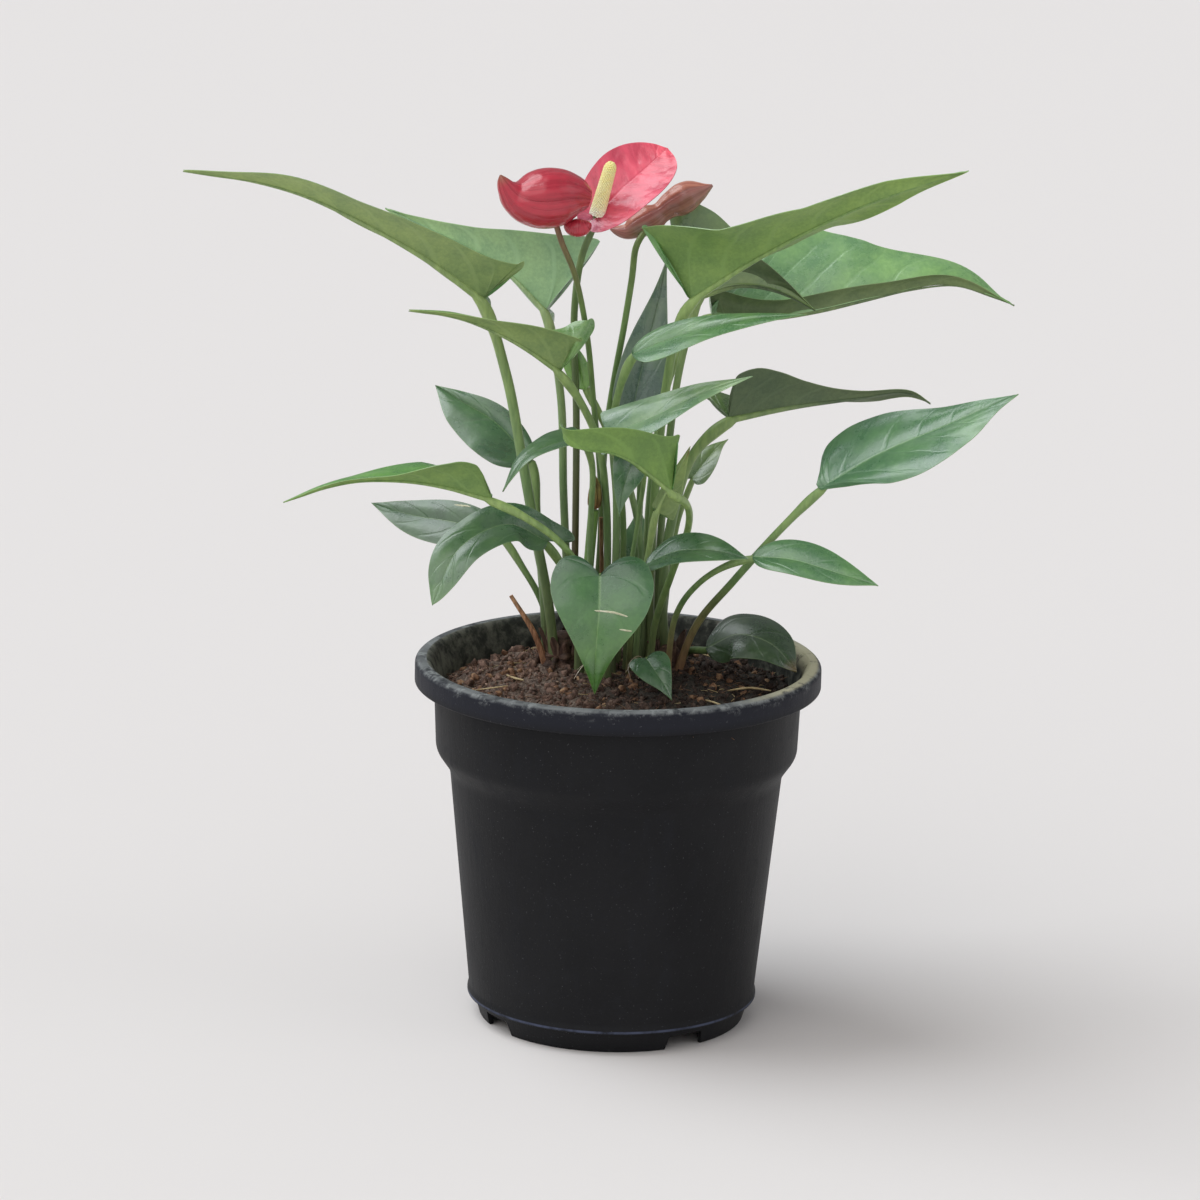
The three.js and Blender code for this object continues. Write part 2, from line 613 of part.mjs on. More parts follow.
for (const bloom of blooms) {
  const base = spot(bloom.midrib[0]);
  const lean = spot(bloom.spadix.lean).normalize();
  const onAxis = (rise) => base.clone().addScaledVector(lean, rise);
  const top = onAxis(spadixSeatRise + stalkInSpadix);
  const route = [rootBelow(bloom.foot), ...spots(bloom.route), onAxis(-stalkLead), base, top];
  const room = stemRoom(route, bloom.stalk);
  const upperRoom = solidFrom(stemGeometry(route, bloom.stalk, clearance).translate(0, 0, clearance));
  const spadix = solidFrom(spadixGeometry(onAxis(spadixSeatRise), bloom.spadix));
  const seatRoom = solidFrom(spadixGeometry(onAxis(spadixSeatRise - clearance), bloom.spadix, clearance));
  const spathe = bladeSolid(bloom, shield, spatheThickness, 0);
  addPiece(`${bloom.name}_stalk`, solidFrom(stemGeometry(route, bloom.stalk)), bloom.stalkColour, 0.5);
  addPiece(`${bloom.name}_spathe`, mainBody(spathe.subtract(room).subtract(seatRoom)), bloom.colour, 0.3);
  addPiece(`${bloom.name}_spadix`, spadix.subtract(upperRoom).subtract(room), 'paleYellow', 0.6);
  rooms.push(room);
}

// What stands among the stalks: a thick young shoot with a withered bud, a broken stalk and a dry stub.
const shoots = [
  {
    name: 'young_shoot', colour: 'freshGreen', radius: 2.1, foot: [-14, 14],
    route: [[-13, 12, 170], [-11, 9, 203]],
  },
  {
    name: 'broken_stalk', colour: 'dryBrown', radius: 1, foot: [-6, 19],
    route: [[-7, 17, 170], [-8, 14, 199]],
  },
  {
    name: 'dry_stub', colour: 'dryBrown', radius: 1.3, foot: [-31, 14],
    route: [[-37, 15, 150], [-45, 17, 167]],
  },
];
const bud = { seat: [-11, 9, 203.6], length: 14, radius: 2.6 };

for (const shoot of shoots) {
  const route = [rootBelow(shoot.foot), ...spots(shoot.route)];
  addPiece(shoot.name, solidFrom(stemGeometry(route, shoot.radius)), shoot.colour, 0.6);
  rooms.push(stemRoom(route, shoot.radius));
}

// The bud is a spindle on the young shoot's end.
function budSolid({ seat, length, radius }) {
  const shape = [[0, 0], [0.55, 0.04], [1, 0.35], [0.8, 0.65], [0.3, 0.95], [0, 1]];
  const geometry = turnedGeometry(shape.map(([r, z]) => [r * radius, z * length]), budSides);
  return solidFrom(geometry.translate(...seat));
}

addPiece('withered_bud', budSolid(bud), 'dryBrown', 0.7);

// The crowns: short reddish stems in the peat, which the stalks round them pass through in plain holes.
const crowns = [
  { name: 'crown_left', centre: [-22, 18], radius: 8.5, height: 13 },
  { name: 'crown_right', centre: [20, 14], radius: 7, height: 10 },
];

function crownGeometry({ centre: [x, y], radius, height }, spare) {
  const outer = radius + spare;
  const profile = [
    [0, -crownSink - spare],
    [outer * 0.9, -crownSink - spare],
    [outer, 1],
    [outer * 0.75, height * 0.6],
    [outer * 0.4, height + spare],
    [0, height + spare],
  ];
  return turnedGeometry(profile, crownSides).translate(x, y, peatHeight(x, y));
}

const stalkRooms = [...rooms];
for (const crown of crowns) {
  const solid = stalkRooms.reduce((body, room) => body.subtract(room), solidFrom(crownGeometry(crown, 0)));
  addPiece(crown.name, solid, 'redBrown', 0.7);
  rooms.push(solidFrom(crownGeometry(crown, clearance)));
}

addPiece('pot', potSolid(), 'blackPlastic', 0.5);
addPiece('peat', peatSolid(rooms), 'peat', 0.95);

pieces.children.forEach((piece) => piece.geometry.translate(plantShift, 0, 0));

export default pieces;
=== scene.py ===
import math

import bpy
import numpy as np
from mathutils import Matrix, Vector, noise
from mathutils.bvhtree import BVHTree


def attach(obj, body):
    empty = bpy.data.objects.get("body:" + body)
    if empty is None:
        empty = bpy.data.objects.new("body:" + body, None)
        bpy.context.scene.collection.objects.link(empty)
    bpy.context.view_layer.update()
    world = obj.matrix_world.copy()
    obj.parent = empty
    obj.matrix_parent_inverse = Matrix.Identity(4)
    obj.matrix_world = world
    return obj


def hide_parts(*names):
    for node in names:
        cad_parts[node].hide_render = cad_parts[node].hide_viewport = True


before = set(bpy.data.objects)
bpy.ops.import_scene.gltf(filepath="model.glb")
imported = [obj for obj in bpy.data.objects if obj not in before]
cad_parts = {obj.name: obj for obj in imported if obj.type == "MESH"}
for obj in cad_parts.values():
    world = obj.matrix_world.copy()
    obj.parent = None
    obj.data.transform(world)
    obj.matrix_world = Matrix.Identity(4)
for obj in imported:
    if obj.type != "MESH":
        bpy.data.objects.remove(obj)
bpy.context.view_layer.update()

# A potted anthurium. Lengths are millimetres from the pot's axis, and metres in the row's frame once a
# mesh is made. +Z is up, and the viewer stands at -Y.

mm = 0.001
plantShift = 6.7                                 # the pot's axis stands this far along X
fluteCount = 5                                   # the soft ribs round a dry stem


def operator(operation, swapped=False):
    return lambda wire, other: wire.math(operation, other, swapped)


class Wire:                                      # a socket in an expression
    __add__, __radd__ = operator("ADD"), operator("ADD", True)
    __sub__, __rsub__ = operator("SUBTRACT"), operator("SUBTRACT", True)
    __mul__, __rmul__ = operator("MULTIPLY"), operator("MULTIPLY", True)
    __truediv__, __pow__ = operator("DIVIDE"), operator("POWER")

    def __init__(self, graph, socket):
        self.graph = graph
        self.socket = socket

    def math(self, operation, other, swapped=False):
        first, second = (other, self) if swapped else (self, other)
        return self.graph.node("ShaderNodeMath", {"operation": operation}, {0: first, 1: second})

    def step(self, low, high):                   # 0 at low, 1 at high, smooth between
        limits = {"Value": self, "From Min": low, "From Max": high}
        return self.graph.node("ShaderNodeMapRange", {"interpolation_type": "SMOOTHSTEP"}, limits)


class Graph:
    def __init__(self, tree):
        self.tree = tree
        self.tree.nodes.clear()
        self.places = {}

    def node(self, kind, settings=None, values=None, output=0):
        made = self.tree.nodes.new(kind)
        for name, setting in (settings or {}).items():
            if name == "stops":
                ramp = made.color_ramp
                while len(ramp.elements) < len(setting):
                    ramp.elements.new(1)
                for element, (place, shade) in zip(ramp.elements, setting):
                    element.position = place
                    element.color = (*shade, 1)
            else:
                setattr(made, name, setting)
        for name, value in (values or {}).items():
            if isinstance(value, Wire):
                self.tree.links.new(value.socket, made.inputs[name])
            elif value is not None:
                socket = made.inputs[name]
                isColour = socket.type == "RGBA" and len(value) == 3
                socket.default_value = (*value, 1) if isColour else value
        return Wire(self, made.outputs[output]) if made.outputs else made

    def place(self, scale=(1, 1, 1)):            # Object coordinates in mm from the pot's axis
        if scale not in self.places:
            coordinates = self.node("ShaderNodeTexCoord", output="Object")
            size = [value / mm for value in scale]
            values = {"Vector": coordinates, "Location": (-plantShift * scale[0], 0, 0), "Scale": size}
            self.places[scale] = self.node("ShaderNodeMapping", {}, values)
        return self.places[scale]

    def axis(self, vector, name):
        return self.node("ShaderNodeSeparateXYZ", {}, {0: vector}, name)

    def noise(self, size, detail=4, rough=0.55, place=None, twist=0.0):    # size is a patch's width in mm
        values = {"Vector": place or self.place(), "Scale": 1 / size, "Detail": detail,
                  "Roughness": rough, "Distortion": twist}
        return self.node("ShaderNodeTexNoise", {}, values)

    def cells(self, size, feature="F1"):
        values = {"Vector": self.place(), "Scale": 1 / size}
        return self.node("ShaderNodeTexVoronoi", {"feature": feature}, values, "Distance")

    def attribute(self, name, output="Fac"):
        return self.node("ShaderNodeAttribute", {"attribute_name": name}, {}, output)

    def mix(self, factor, first, second, blend="MIX"):
        settings = {"data_type": "RGBA", "blend_type": blend}
        return self.node("ShaderNodeMix", settings, {0: factor, 6: first, 7: second}, 2)

    def tinted(self, colour, shade, way="MULTIPLY"):
        return self.mix(1.0, colour, shade, way)

    def vector(self, x=0.0, y=0.0, z=0.0):
        return self.node("ShaderNodeCombineXYZ", {}, {"X": x, "Y": y, "Z": z})

    def ramp(self, factor, stops):
        return self.node("ShaderNodeValToRGB", {"stops": stops}, {0: factor})


def newMaterial(name, build):                    # build returns colour, roughness, height in mm, constants
    material = bpy.data.materials.new(name)
    material.use_nodes = True
    graph = Graph(material.node_tree)
    colour, roughness, height, constants = build(graph)
    values = {"Base Color": colour, "Roughness": roughness, **constants}
    if height is not None:
        bump = {"Height": height, "Distance": mm, "Strength": 1.0}
        values["Normal"] = graph.node("ShaderNodeBump", {}, bump)
    shader = graph.node("ShaderNodeBsdfPrincipled", {}, values)
    graph.node("ShaderNodeOutputMaterial", {}, {"Surface": shader})
    return material


def toRow(points):                               # mm from the pot's axis to metres in the row's frame
    return (np.asarray(points, float) + [plantShift, 0, 0]) * mm


def unit(vectors):
    lengths = np.linalg.norm(vectors, axis=-1, keepdims=True)
    return vectors / np.maximum(lengths, 1e-12)


def blend(first, second, share):
    return first + (second - first) * share


def tintedBy(share, stops, places=(0, 0.55, 1)):
    return np.stack([np.interp(share, places, [stop[k] for stop in stops]) for k in range(3)], -1)


def ringAt(centre, reach, turns, across, up):
    return centre + np.outer(reach * np.cos(turns), across) + np.outer(reach * np.sin(turns), up)


def ringPoints(turns, radius, height):
    return [[radius * math.cos(t), radius * math.sin(t), height] for t in turns]


def setTints(mesh, tints):
    colours = np.hstack([tints, np.ones((len(tints), 1))]).astype(np.float32)
    mesh.attributes["tint"].data.foreach_set("color", colours.ravel())


def listAt(values, share):                       # a value, or evenly spaced ones read at a share of the way
    values = np.atleast_1d(values)
    return np.interp(share, np.linspace(0, 1, len(values)), values)


def addObject(name, data):
    made = bpy.data.objects.new(name, data)
    bpy.context.scene.collection.objects.link(made)
    return made


def evaluatedMesh(piece):                        # the plain mesh that a piece's modifiers make
    graph = bpy.context.evaluated_depsgraph_get()
    return bpy.data.meshes.new_from_object(piece.evaluated_get(graph))


class Route:                                     # a smooth curve, read by share of its length
    def __init__(self, points):
        knots = np.array(points, float)
        knots = np.vstack([2 * knots[0] - knots[1], knots, 2 * knots[-1] - knots[-2]])
        share = np.linspace(0, 1, 40, endpoint=False)[:, None]
        parts = []
        for a, b, c, d in zip(knots, knots[1:], knots[2:], knots[3:]):
            before, here, after = (np.linalg.norm(q - p) ** 0.5 for p, q in ((a, b), (b, c), (c, d)))
            leave = ((b - a) / before - (c - a) / (before + here) + (c - b) / here) * here
            arrive = ((c - b) / here - (d - b) / (here + after) + (d - c) / after) * here
            cubic = 2 * b - 2 * c + leave + arrive
            square = 3 * c - 3 * b - 2 * leave - arrive
            parts.append(b + leave * share + square * share ** 2 + cubic * share ** 3)
        self.line = np.vstack([*parts, knots[-2][None]])
        steps = np.linalg.norm(np.diff(self.line, axis=0), axis=1)
        self.lengths = np.concatenate([[0], np.cumsum(steps)])
        self.length = self.lengths[-1]
        self.headings = unit(np.gradient(self.line, axis=0))

    def read(self, rows, share):
        distance = np.clip(share, 0, 1) * self.length
        return np.stack([np.interp(distance, self.lengths, column) for column in rows.T], -1)

    def at(self, share):
        return self.read(self.line, share)

    def heading(self, share):
        return unit(self.read(self.headings, share))


class Form:                                      # parts gathered into one mesh
    def __init__(self):
        self.points = []
        self.faces = []
        self.slots = []
        self.uvs = []
        self.tints = []
        self.edges = []
        self.count = 0

    def add(self, points, faces, slot=0, uvs=None, tint=(1, 1, 1), edge=9.0):
        self.faces += [[corner + self.count for corner in face] for face in faces]
        self.uvs += uvs if uvs else [(0, 0)] * sum(len(face) for face in faces)
        self.slots += [slot] * len(faces)
        self.points.append(points)
        self.tints.append(np.broadcast_to(tint, (len(points), 3)))
        self.edges.append(np.broadcast_to(edge, len(points)))
        self.count += len(points)

    def tube(self, line, radii, sides=10, slot=0, tint=(1, 1, 1), flute=0.0):
        line = np.asarray(line, float)
        radii = np.broadcast_to(radii, len(line))
        headings = unit(np.gradient(line, axis=0))
        across = np.cross(headings[0], [0.31, 0.87, 0.38])
        turns = 2 * np.pi * np.arange(sides) / sides
        rings = []
        for point, heading, radius in zip(line, headings, radii):
            across = across - heading * np.dot(across, heading)
            across /= np.linalg.norm(across)
            up = np.cross(heading, across)
            reach = radius * (1 + flute * np.cos(fluteCount * turns))
            rings.append(ringAt(point, reach, turns, across, up))
        last = len(line) - 1
        points = np.vstack([*rings, line[0], line[last]])
        faces, uvs = [], []
        travel = np.concatenate([[0], np.cumsum(np.linalg.norm(np.diff(line, axis=0), axis=1))])
        for ring in range(last):
            for side in range(sides):
                after = (side + 1) % sides
                low, high = ring * sides, (ring + 1) * sides
                faces.append([low + side, low + after, high + after, high + side])
                left, right = side / sides, (side + 1) / sides
                near, far = travel[ring], travel[ring + 1]
                uvs += [(left, near), (right, near), (right, far), (left, far)]
        for centre, ring, flip in ((len(points) - 2, 0, True), (len(points) - 1, last, False)):
            for side in range(sides):
                pair = [ring * sides + side, ring * sides + (side + 1) % sides]
                faces.append([centre, *(pair[::-1] if flip else pair)])
                uvs += [(0.5, travel[ring])] * 3
        tint = np.asarray(tint, float)
        if tint.ndim == 2:                       # a tint for each ring
            tint = np.vstack([np.repeat(tint, sides, axis=0), tint[0], tint[-1]])
        self.add(points, faces, slot, uvs, tint)

    def build(self, name, materials, sharp=40):
        mesh = bpy.data.meshes.new(name)
        mesh.from_pydata(toRow(np.vstack(self.points)).tolist(), [], self.faces)
        uvs = mesh.uv_layers.new(name="skin")
        uvs.data.foreach_set("uv", np.array(self.uvs, np.float32).ravel())
        mesh.attributes.new("tint", "FLOAT_COLOR", "POINT")
        setTints(mesh, np.vstack(self.tints))
        edges = np.concatenate(self.edges).astype(np.float32)
        mesh.attributes.new("edge", "FLOAT", "POINT").data.foreach_set("value", edges)
        for material in materials:
            mesh.materials.append(material)
        mesh.polygons.foreach_set("material_index", self.slots)
        mesh.shade_smooth()
        mesh.set_sharp_from_angle(angle=math.radians(sharp))
        mesh.validate()
        return addObject(name, mesh)


def settle(piece, slot, *nodes):                 # a finished piece rides with the plant, for its nodes
    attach(piece, "root")
    if nodes:
        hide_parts(*nodes)


# The camera stands where the photograph's did, tilted a little, with a long lens.
viewpoint = {"target": (-1.0, 0, 169), "distance": 2200, "elevation": 14.23, "roll": 1.18, "lens": 168.2}


def addCamera():
    rise = math.radians(viewpoint["elevation"])
    roll = math.radians(viewpoint["roll"])
    back = Vector((0, -math.cos(rise), math.sin(rise)))
    right = Vector((1, 0, 0))
    up = back.cross(right)
    tiltedRight = right * math.cos(roll) + up * math.sin(roll)
    tiltedUp = up * math.cos(roll) - right * math.sin(roll)
    data = bpy.data.cameras.new("camera")
    data.sensor_width = 36
    data.lens = viewpoint["lens"]
    data.clip_start, data.clip_end = 0.1, 50
    camera = addObject("camera", data)
    place = (Vector(viewpoint["target"]) + back * viewpoint["distance"]) * mm
    turn = Matrix((tiltedRight, tiltedUp, back)).transposed().to_4x4()
    camera.matrix_world = Matrix.Translation(place) @ turn
    bpy.context.scene.camera = camera


studio = {
    "lights": {                                  # where from, how many degrees wide, strength, colour
        "key": ((-0.5, -0.6, 0.8), 64, 0.95, (1, 0.985, 0.96)),
        "sky": ((-0.58, 0.15, 0.8), 48, 1.85, (0.92, 0.97, 1)),
        "fill": ((0.15, -1, 0.2), 70, 0.4, (1, 1, 1)),
        "side": ((0.9, -0.3, 0.5), 40, 0.25, (1, 1, 1)),
    },
    "world": ((0.97, 0.98, 1), 0.31),
    "floor": (0.785, 0.748, 0.735),
    "floorReach": 9,
}


def addStudio():
    for name, (source, width, strength, colour) in studio["lights"].items():
        data = bpy.data.lights.new(name, "SUN")
        data.angle = math.radians(width)
        data.energy = strength
        data.color = colour
        light = addObject(name, data)
        light.rotation_euler = Vector(source).to_track_quat("Z", "Y").to_euler()
    world = bpy.data.worlds.new("studio")
    world.use_nodes = True
    background = world.node_tree.nodes["Background"]
    colour, strength = studio["world"]
    background.inputs["Color"].default_value = (*colour, 1)
    background.inputs["Strength"].default_value = strength
    bpy.context.scene.world = world
    bpy.context.scene.view_settings.view_transform = "Standard"
    reach = studio["floorReach"]
    mesh = bpy.data.meshes.new("floor")
    corners = [(-reach, -reach, 0), (reach, -reach, 0), (reach, reach, 0), (-reach, reach, 0)]
    mesh.from_pydata(corners, [], [[0, 1, 2, 3]])
    floor = addObject("floor", mesh)
    mesh.materials.append(newMaterial("floorPaper", lambda graph: (studio["floor"], 0.9, None, {})))


# Leaf skins. Colour comes from the piece's tint, and the veins from its own map: u counts the lateral
# veins from the lobe to the tip, and v runs from the midrib to the margin. edge is mm to the margin.
skin = {"veinBend": 0.5, "veinWidth": 0.05, "mottle": 14, "grain": 0.9, "margin": 0.32}


def veinMasks(graph, veinWidth):
    place = graph.node("ShaderNodeUVMap", {"uv_map": "skin"})
    count = graph.axis(place, "X")
    across = graph.axis(place, "Y")
    wander = graph.noise(9, 2) - 0.5
    phase = count - across * across * skin["veinBend"] + wander * 0.25
    nearness = graph.node("ShaderNodeMath", {"operation": "PINGPONG"}, {0: phase, 1: 0.5})
    lateral = 1 - nearness.step(veinWidth * 0.4, veinWidth * 1.8)
    lateral = lateral * (1 - across.step(0.8, 0.97))
    midrib = 1 - across.step(0.012, 0.05)
    return lateral, midrib


def mottled(graph, tint, size, fleckSize, shades, fleckShades):     # large soft patches with small flecks
    mottle = graph.noise(size, 5, 0.6)
    fleck = graph.noise(fleckSize, 4, 0.7)
    colour = graph.tinted(tint, graph.mix(mottle.step(0.3, 0.72), *shades))
    flecks = graph.mix(fleck.step(0.35, 0.7), *fleckShades)
    return mottle, graph.mix(0.5, colour, flecks, "MULTIPLY")


def upperSkin(graph):
    lateral, midrib = veinMasks(graph, skin["veinWidth"])
    tint = graph.attribute("tint", "Color")
    shades = ((0.68, 0.76, 0.78), (1.2, 1.16, 1.0)), ((0.82, 0.85, 0.85), (1.16, 1.13, 1.1))
    mottle, colour = mottled(graph, tint, skin["mottle"], 1.6, *shades)
    paler = graph.tinted(tint, (0.03, 0.042, 0.02), "ADD")
    colour = graph.mix(lateral * mottle.step(0.2, 0.75) * 0.35, colour, paler)
    pith = graph.tinted(tint, (0.1, 0.13, 0.055), "ADD")
    colour = graph.mix(midrib * 0.6, colour, pith)
    margin = 1 - graph.attribute("edge").step(skin["margin"] * 0.4, skin["margin"])
    colour = graph.mix(margin * 0.4, colour, pith)
    dust = graph.noise(3.2, 5, 0.7).step(0.5, 0.78)
    colour = graph.mix(dust * 0.1, colour, (0.34, 0.38, 0.34))
    cells = graph.cells(skin["grain"])
    roughness = 0.22 + dust * 0.2 + mottle * 0.12
    height = 0.02 * cells - 0.07 * lateral - 0.1 * midrib + 0.2 * graph.noise(11, 3)
    return colour, roughness, height, {"Specular IOR Level": 1.0}


def underSkin(graph):
    lateral, midrib = veinMasks(graph, skin["veinWidth"] * 1.3)
    tint = graph.attribute("tint", "Color")
    shades = ((0.8, 0.84, 0.82), (1.14, 1.1, 1.0)), ((0.84, 0.86, 0.86), (1.13, 1.12, 1.12))
    mottle, colour = mottled(graph, tint, skin["mottle"] * 0.8, 1.4, *shades)
    veinShade = graph.tinted(tint, (1.14, 1.12, 1.1))
    colour = graph.mix(lateral * 0.6, colour, veinShade)
    margin = 1 - graph.attribute("edge").step(skin["margin"] * 0.4, skin["margin"])
    colour = graph.mix(margin * 0.5, colour, graph.tinted(tint, (0.12, 0.15, 0.06), "ADD"))
    net = graph.cells(1.7, "DISTANCE_TO_EDGE").step(0.02, 0.12)
    roughness = 0.42 + mottle * 0.16
    height = 0.1 * lateral + 0.1 * midrib - 0.02 * net + 0.2 * graph.noise(10, 3)
    colour = graph.mix((1 - net) * 0.14, colour, veinShade)
    return colour, roughness, height, {"Specular IOR Level": 0.45}


def stalkSkin(graph):
    tint = graph.attribute("tint", "Color")
    streaks = graph.noise(2.2, 4, 0.6, graph.place(scale=(1, 1, 0.12)))
    shade = graph.mix(streaks.step(0.3, 0.7), (0.74, 0.78, 0.74), (1.15, 1.12, 1.05))
    colour = graph.tinted(tint, shade)
    specks = graph.noise(0.7, 2).step(0.66, 0.74)
    colour = graph.mix(specks * 0.35, colour, (0.2, 0.12, 0.06))
    return colour, 0.36 + streaks * 0.15, 0.12 * streaks, {}


def scarSkin(graph):
    patches = graph.noise(2, 4, 0.7)
    return graph.mix(patches.step(0.3, 0.7), (0.5, 0.5, 0.32), (0.78, 0.75, 0.58)), 0.7, 0.1 * patches, {}


# Blades. Each half is a fan of rows from the midrib to its outline, slanted as the lateral veins are.
bladeSettings = {
    "veinSlant": 0.22, "lobeReach": 0.19, "rimThickness": 0.28, "rimReach": 2.5, "rows": 84, "columns": 16,
    "fullHalf": 22, "waveVeins": 2.7, "furlColumns": 72, "furlSeam": 60, "furlWrap": 395,
    "furlGrowth": 0.13, "furlVeins": 11, "furlAcross": (0.2, 0.7), "furlEdge": 6,
}
# What a blade has unless its row says otherwise. The quilt, wave and camber are heights in mm on a blade
# whose half is fullHalf mm wide.
plainBlade = {
    "outline": "arrow", "face": (0, 0, 1), "lobe": 2, "sweep": 0, "curl": 0, "thickness": 0.55,
    "quilt": 0.2, "wave": 0.4, "camber": 1.3, "shade": ((0.86, 0.88, 0.92), (1, 1, 1), (1.22, 1.18, 1.0)),
    "scars": (),
}
outlines = {                                     # how far along the midrib, and how wide
    "arrow": [
        (-0.03, 0.12), (-0.08, 0.38), (-0.14, 0.68), (-0.19, 0.92), (-0.1, 1), (0.08, 0.98), (0.28, 0.87),
        (0.45, 0.69), (0.62, 0.48), (0.77, 0.28), (0.9, 0.11), (1, 0),
    ],
    "heart": [
        (-0.06, 0.1), (-0.15, 0.3), (-0.19, 0.54), (-0.13, 0.8), (0, 0.96), (0.14, 1), (0.3, 0.92),
        (0.46, 0.74), (0.62, 0.5), (0.77, 0.27), (0.9, 0.1), (1, 0),
    ],
    "lance": [
        (-0.03, 0.12), (-0.08, 0.36), (-0.15, 0.66), (-0.19, 0.9), (-0.13, 1), (0.02, 0.98), (0.19, 0.86),
        (0.35, 0.66), (0.52, 0.45), (0.68, 0.28), (0.84, 0.13), (1, 0),
    ],
    "wedge": [
        (0, 0.12), (0.02, 0.38), (0.06, 0.7), (0.12, 0.92), (0.21, 1), (0.34, 0.91), (0.48, 0.71),
        (0.63, 0.49), (0.78, 0.28), (0.9, 0.12), (1, 0),
    ],
    "oval": [
        (0, 0.12), (0.02, 0.34), (0.07, 0.62), (0.16, 0.86), (0.28, 0.98), (0.4, 1), (0.54, 0.92),
        (0.68, 0.74), (0.81, 0.48), (0.92, 0.2), (1, 0),
    ],
    "late": [
        (0.01, 0.08), (0.07, 0.2), (0.16, 0.42), (0.26, 0.7), (0.37, 0.92), (0.5, 1), (0.62, 0.91),
        (0.74, 0.67), (0.84, 0.39), (0.93, 0.15), (1, 0),
    ],
    "peak": [
        (0, 0.1), (0.06, 0.32), (0.14, 0.6), (0.24, 0.87), (0.35, 1), (0.47, 0.84), (0.59, 0.6),
        (0.72, 0.41), (0.85, 0.22), (0.94, 0.08), (1, 0),
    ],
    "hump": [
        (0, 0.12), (0.01, 0.4), (0.035, 0.74), (0.075, 0.95), (0.15, 1), (0.25, 0.84), (0.36, 0.56),
        (0.5, 0.3), (0.64, 0.18), (0.8, 0.11), (0.92, 0.05), (1, 0),
    ],
    "trail": [
        (0, 0.15), (-0.07, 0.45), (-0.14, 0.76), (-0.15, 0.94), (-0.07, 1), (0.03, 0.83), (0.12, 0.67),
        (0.25, 0.58), (0.4, 0.56), (0.55, 0.5), (0.7, 0.4), (0.85, 0.23), (1, 0),
    ],
    "fan": [
        (0, 0.15), (-0.03, 0.5), (-0.04, 0.82), (0, 1), (0.1, 0.9), (0.2, 0.7), (0.34, 0.48), (0.5, 0.28),
        (0.65, 0.17), (0.82, 0.08), (1, 0),
    ],
    "dome": [
        (-0.1, 0.1), (-0.16, 0.3), (-0.2, 0.55), (-0.19, 0.8), (-0.1, 0.95), (0.02, 1), (0.14, 0.93),
        (0.24, 0.78), (0.34, 0.5), (0.45, 0.27), (0.6, 0.16), (0.8, 0.08), (1, 0),
    ],
    "ear": [
        (-0.06, 0.12), (-0.16, 0.3), (-0.19, 0.55), (-0.12, 0.76), (-0.01, 0.83), (0.1, 0.88), (0.3, 1),
        (0.5, 1), (0.66, 0.93), (0.8, 0.72), (0.9, 0.42), (0.97, 0.15), (1, 0),
    ],
    "broad": [
        (0, 0.15), (0.02, 0.45), (0.08, 0.75), (0.18, 0.93), (0.32, 1), (0.5, 1), (0.66, 0.93),
        (0.8, 0.72), (0.9, 0.42), (0.97, 0.15), (1, 0),
    ],
    "cordate": [
        (-0.06, 0.1), (-0.15, 0.3), (-0.19, 0.56), (-0.14, 0.82), (0, 0.97), (0.13, 1), (0.27, 0.92),
        (0.41, 0.74), (0.55, 0.52), (0.69, 0.32), (0.83, 0.16), (0.94, 0.06), (1, 0),
    ],
    "tab": [
        (0, 0.12), (-0.08, 0.4), (-0.18, 0.66), (-0.19, 0.9), (-0.08, 1), (0.03, 0.88), (0.09, 0.64),
        (0.17, 0.5), (0.3, 0.42), (0.5, 0.36), (0.7, 0.26), (0.85, 0.14), (1, 0),
    ],
    "cup": [
        (-0.16, 0.02), (-0.19, 0.2), (-0.14, 0.42), (-0.03, 0.62), (0.12, 0.82), (0.3, 0.95), (0.5, 1),
        (0.68, 0.91), (0.83, 0.71), (0.94, 0.4), (1, 0),
    ],
    "flag": [
        (0, 0.14), (-0.03, 0.45), (-0.06, 0.8), (-0.05, 0.97), (0.02, 1), (0.12, 0.87), (0.25, 0.72),
        (0.42, 0.6), (0.6, 0.5), (0.78, 0.36), (0.93, 0.18), (1, 0),
    ],
}


# A plain value serves both halves of a blade, and a pair holds the right half's and the left half's.
def sided(value, side):
    return value[0 if side > 0 else 1] if isinstance(value, (list, tuple)) else value


def midribFrame(blade, share):
    rib = blade["rib"]
    centre = rib.at(share)
    onward = rib.heading(share)
    rightward = unit(np.cross(onward, np.array(blade["face"], float)))
    return centre, onward, rightward, np.cross(rightward, onward)


def bladePoints(blade, reach, across, side):
    share = np.maximum(0, reach)
    centre, onward, rightward, upward = midribFrame(blade, share)
    half, lobe, sweep, curl, bends = (
        sided(blade[name], side) for name in ("half", "lobe", "sweep", "curl", "fold"))
    fold = np.radians(listAt(bends, share) + curl * across)
    width = half * across
    back = lobe * np.minimum(0, reach) / bladeSettings["lobeReach"]
    forward = back + sweep * across * (1 - share) ** 2
    return (centre + onward * forward[..., None] + rightward * (side * width * np.cos(fold))[..., None]
            + upward * (width * np.sin(fold))[..., None])


def gridFaces(rows, columns, uvAt=None, first=0, flipped=False):      # four corners a cell, row by row
    faces, uvs = [], []
    for row in range(rows):
        for step in range(columns):
            corners = [(row, step), (row, step + 1), (row + 1, step + 1), (row + 1, step)]
            corners = corners[::-1] if flipped else corners
            faces.append([first + r * (columns + 1) + c for r, c in corners])
            uvs.append([uvAt(r, c) for r, c in corners] if uvAt else None)
    return faces, uvs


